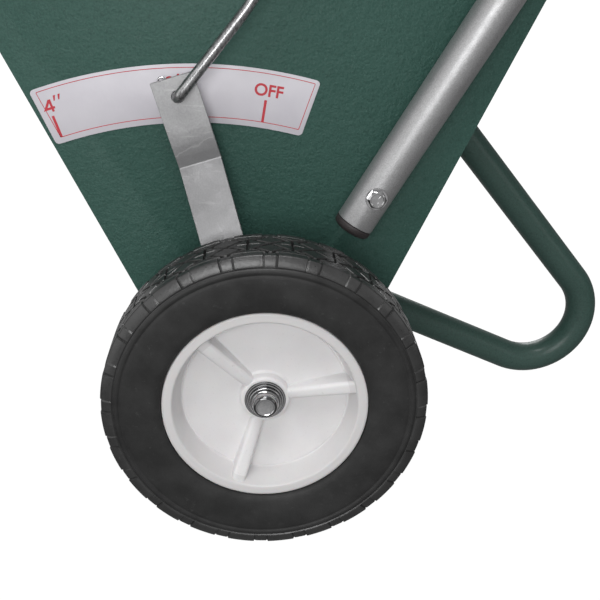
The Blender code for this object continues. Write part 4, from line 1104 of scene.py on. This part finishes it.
def split_pin(centre, way):
    """Two half-round legs side by side and the round eye that joins them."""
    across = way.cross(Y).normalized()
    eye = centre + way * 12.8 * MM
    start = atan2(-way.z, -way.x)
    turns = np.linspace(start + 0.35, start + 2 * pi - 0.35, 28)
    ring = [eye + 2.5 * MM * Vector((cos(a), 0, sin(a))) for a in turns]
    gap = across * (0.5 * MM if (ring[0] - eye).dot(across) > 0 else -0.5 * MM)
    leg = [(-8, 1.6), (-4.5, 1), (9.6, 1)]  # distance along the pin, share of the gap
    one, other = [[centre + way * s * MM + gap * share * k for s, share in leg] for k in (1, -1)]
    return eased([*one, *ring, *other[::-1]], 0.68 * MM, 14, 0.2 * MM)


# ---------------------------------------------------------------- hopper, stand and lid

SHEET = 1.5
PANEL = radians(25)
TROUGH_R = 60.8
AXLE_Z = 101.6
RIM_Z = 400.0
PLATE_Y = 148.5, 150  # the end plates' inner and outer faces
OUTLET = 6, 50.8  # half the length and width of the slot under the agitator
LIP_X = TROUGH_R / cos(PANEL) + (RIM_Z - SHEET - AXLE_Z) * tan(PANEL) + 12


def panel_x(z, inset):
    return (TROUGH_R - inset) / cos(PANEL) + (z - AXLE_Z) * tan(PANEL)


def hopper_line(inset, top):
    """(x, z) points in millimetres from the rear rim round the trough to the front rim."""
    turns = np.linspace(-PANEL, PANEL - pi, 60)
    radius = TROUGH_R - inset
    trough = [(radius * cos(a), AXLE_Z + radius * sin(a)) for a in turns]
    return [(panel_x(top, inset), top), *trough, (-panel_x(top, inset), top)]


def hopper():
    """End plates with eased edges, and the wrapped sheet with rolled rims and its outlet slot."""
    for side, word in SIDES:
        low, high = sorted(-side * y for y in PLATE_Y)
        bm = extruded(metres(hopper_line(0, RIM_Z)), low * MM, high * MM, XZ)
        holes = [across_bore(AXLE, side * 0.13, side * 0.17, 11 * MM, 56)]
        for along in (23.3, 200):
            holes.append(across_bore(on_handle(side, along), side * 0.13, side * 0.17, BOLT_HOLE_R))
        obj = carved(f"{word}_end_plate", bm, holes, bevel=0.35 * MM, angle=40)
        settle(obj, f"{word}_side_plate")
        refined(f"{word}_baffle", 0.3 * MM)
    half = SHEET / 2
    middle_line = hopper_line(half, RIM_Z - half)
    lip = LIP_X - half
    corners = [(lip, RIM_Z - 12), (lip, RIM_Z - half), *middle_line[:2]]
    rear = [(p.x, p.y) for p in rounded([(*c, 0) for c in corners], 2.2, radians(12))][:-1]
    path = rear + middle_line[1:-1] + [(-x, z) for x, z in rear[::-1]]
    half = (PLATE_Y[0] - 0.3) * MM
    bm = extruded(metres(thick_line(path, SHEET)), -half, half, XZ)
    length, width = OUTLET
    slot = box(at(-length, -width, 30), at(length, width, 60))
    settle(carved("wrapped_sheet", bm, [slot]), "hopper_shell", angle=30)


def weld_bead(points, size):
    """A closed fillet of weld with its row of ripples."""
    count = len(points)
    radii = [size * (1 + 0.16 * sin(2 * pi * i * 16 / count) + 0.07 * sin(i * 1.7)) for i in range(count)]
    return swept(points, size, 12, radii, closed=True)


def stand():
    """The rear stand: one tube bent at the foot, welded to the hopper at both ends."""
    bend_r, tube_r, upper, lower = 46.6, 12.7, radians(39.8), radians(24)
    centre = Vector((236.5, 0, bend_r + tube_r))
    turns = np.linspace(-pi / 2 - lower, upper, 40)
    bend = [centre + bend_r * Vector((cos(a), 0, sin(a))) for a in turns]
    up, down = Vector((-sin(upper), 0, cos(upper))), Vector((-cos(lower), 0, sin(lower)))
    path = [at(*p) for p in (bend[0] + down * 190, *bend, bend[-1] + up * 230)]
    keep_out = extruded(metres(hopper_line(-0.3, RIM_Z)), -60 * MM, 60 * MM, XZ)
    bm = taken(carved("stand_loop", swept(path, tube_r * MM, 56), [keep_out]).data)
    for start, way in ((bend[-1], up), (bend[0], down)):
        side = way.cross(Y)
        seam = []
        for a in np.linspace(0, 2 * pi, 97)[:-1]:
            p = start + (Y * cos(a) + side * sin(a)) * (tube_r + 0.2)
            seam.append(at(*(p + way * reach_hopper(p, way))))
        add(bm, weld_bead(seam, 1.9 * MM))
    piece("stand_frame", bm, "stand_tube", "green_tube", angle=35)


def reach_hopper(p, way):
    """How far from p along the way the hopper's outer face is, in millimetres."""
    normal = Vector((cos(PANEL), 0, -sin(PANEL)))
    flat = (TROUGH_R - (p - Z * AXLE_Z).dot(normal)) / way.dot(normal)
    if (p + way * flat).z - AXLE_Z > -TROUGH_R * sin(PANEL):
        return flat
    offset = Vector((p.x, 0, p.z - AXLE_Z))
    b = offset.dot(way)
    c = offset.length_squared - TROUGH_R**2
    return -b - max(b * b - c, 0) ** 0.5


def lid():
    """The lid with a pressed bead and a turned-down rear edge, its knob, and the hinge in front."""
    low, thick = RIM_Z + 0.3, 1.2
    middle_z, front, rear = low + thick / 2, -(LIP_X - 1), LIP_X + 0.5 + thick / 2
    line = bent([(front, middle_z), (rear, middle_z), (rear, low - 10)], 2, thick)
    bm = extruded(metres(line), -149.7 * MM, 149.7 * MM, XZ)
    for y_low, y_high in ((-146.7, -145.5), (145.5, 146.7)):
        add(bm, box(at(-150, y_low, low - 10), at(150, y_high, low + 0.8)))
    corners = [Vector(c) for c in ((-150, -120), (150, -120), (150, 120), (-150, 120))]
    loop = []
    for k, here in enumerate(corners):
        a, b = [here + (c - here).normalized() * 25 for c in (corners[k - 1], corners[(k + 1) % 4])]
        loop += [at(*p, low + thick - 1.7) for p in arc_between(a, here, b, np.linspace(0, 1, 12))]
    add(bm, swept(loop, 2.6 * MM, 20, closed=True))
    piece("lid_sheet", bm, "lid_panel", angle=35)
    profile = [
        (0, 24), (5, 23.8), (9.5, 23.0), (12.6, 21.5), (14.5, 19.2), (15, 17), (14.4, 14.9), (12.2, 12.8),
        (8.8, 10.6), (7.3, 8.2), (7.0, 5.5), (7.2, 2.5), (8, 0.8), (8.2, 0), (0, 0),
    ]  # fmt: skip
    bm = revolved(profile, at(180, 0, low + thick + 0.3), Z, 64)
    piece("turned_knob", bm, "lid_knob", angle=40)
    hinge()


def hinge():
    """Knuckles on two leaves, with rivet heads, and the pin."""
    axis_x, axis_z = -(LIP_X + 4), RIM_Z + 2.5
    low = RIM_Z + 1.8
    lip = -LIP_X - 0.3
    half, knuckle = 120, 48
    fixed = box(at(lip - SHEET, -half, RIM_Z - 12), at(lip, half, RIM_Z - 1.2))
    moving = box(at(-LIP_X + 0.5, -half, low), at(-LIP_X + 20, half, low + SHEET))
    for i in range(5):
        start = -half + knuckle * i + 0.4
        end = start + knuckle - 0.8
        ring = revolved(softened(sleeve(1.8, 3, start, end), 0.3), at(axis_x, 0, axis_z), Y, 32)
        if i % 2:
            add(moving, box(at(axis_x + 1.9, start, low), at(-LIP_X + 3, end, low + SHEET)))
            add(moving, ring)
        else:
            add(fixed, box(at(lip - SHEET, start, RIM_Z - 5), at(lip - 0.1, end, axis_z - 0.4)))
            add(fixed, ring)
    dome = [(0, 0.9), (1.5, 0.75), (2.4, 0.3), (2.7, 0), (0, -0.4)]
    for y in range(-96, 97, 48):
        add(fixed, revolved(dome, at(lip - SHEET, y, RIM_Z - 8), -X, 24))
        add(moving, revolved(dome, at(-LIP_X + 13, y, low + SHEET), Z, 24))
    piece("hinge_leaf_fixed", fixed, "hinge_leaf_hopper", angle=35)
    piece("hinge_leaf_moving", moving, "hinge_leaf_lid", angle=35)
    pin = eased([at(axis_x, -121, axis_z), at(axis_x, 121, axis_z)], 1.5 * MM, 24, 0.4 * MM)
    piece("hinge_wire", pin, "hinge_pin")


# ---------------------------------------------------------------- stage, light and camera

FOCUS = AXLE + Vector((0, -0.15, 0.06))
LAMPS = (  # name, place from the axle, width in metres, watts
    ("flash", (-0.24, -1.6, 0.44), 0.78, 8.5),
    ("key", (-1.45, -0.95, 0.3), 1.6, 5.8),
    ("side", (1.5, -1.2, 0.4), 0.9, 1.8),
    ("back", (0.5, 2.4, 1.0), 1.5, 26),
    ("top", (-0.1, -1.1, 2.3), 1.0, 19),
)


def white_floor():
    """A floor that looks white to the camera but gives the machine no light, reflection or shadow."""
    grid = bmesh.new()
    bmesh.ops.create_grid(grid, x_segments=1, y_segments=1, size=40)
    floor = loose("floor", grid)
    s = Shader("floor_white", 0.9, Emission_Color=(1, 1, 1, 1), Emission_Strength=1.0)
    tone = s.mixed(s.spread(0.5, 2), (0.01, 0.01, 0.01), (0.02, 0.02, 0.02))
    floor.data.materials.append(s.finished(tone, 0.9))
    floor.visible_diffuse = floor.visible_glossy = floor.visible_shadow = False


def studio():
    """A dim room, brighter behind the camera and overhead, that the camera sees as white; soft lamps."""
    white_floor()
    world = bpy.data.worlds.new("studio")
    world.use_nodes = True
    bpy.context.scene.world = world
    sky = Nodes(world.node_tree)
    direction = sky.node("TexCoord", {}, "Generated")
    y, z = [sky.node("SeparateXYZ", {"Vector": direction}, axis) for axis in "YZ"]
    height = sky.math("MAXIMUM", z, sky.math("MULTIPLY", z, -0.55))
    total = sky.math("MULTIPLY_ADD", sky.math("MULTIPLY", y, y), 0.36, 0.08)
    total = sky.math("MULTIPLY_ADD", sky.math("MULTIPLY", height, height), 0.37, total)
    seen = {"Factor": sky.node("LightPath", {}, "Is Camera Ray"), **dict(zip(MIX_NUMBERS, (total, 1.0)))}
    background = sky.tree.nodes["Background"].inputs
    sky.put((1, 1, 1, 1), background["Color"])
    sky.put(sky.node("Mix", seen, MIXED_NUMBER, data_type="FLOAT"), background["Strength"])
    for name, place, size, power in LAMPS:
        light = bpy.data.lights.new(name, "AREA")
        light.shape = "DISK"
        light.size = size
        light.energy = power
        lamp = bpy.data.objects.new(name, light)
        lamp.location = AXLE + Vector(place)
        lamp.rotation_euler = (FOCUS - lamp.location).to_track_quat("-Z", "Y").to_euler()
        bpy.context.scene.collection.objects.link(lamp)


def camera():
    data = bpy.data.cameras.new("camera")
    data.lens = 54.776
    data.sensor_width = 36
    data.clip_start = 0.01
    obj = bpy.data.objects.new("camera", data)
    right = Vector((0.99895813, -0.0448271, 0.00855519))
    up = Vector((0.00986213, 0.39508633, 0.91859106))
    back = Vector((-0.04455781, -0.91754963, 0.3951168))
    place = Vector((AXLE.x, 0, 0)) + Vector((-3.109, -734.511, 387.108)) * MM
    obj.matrix_world = axes(right, up, back, place)
    bpy.context.scene.collection.objects.link(obj)
    bpy.context.scene.camera = obj


bpy.context.scene.view_settings.view_transform = "Standard"
for build in (
    hopper, stand, lid, label, handle, fasteners, gate, control_linkage, axle_parts, wheels, studio, camera,
):  # fmt: skip
    build()
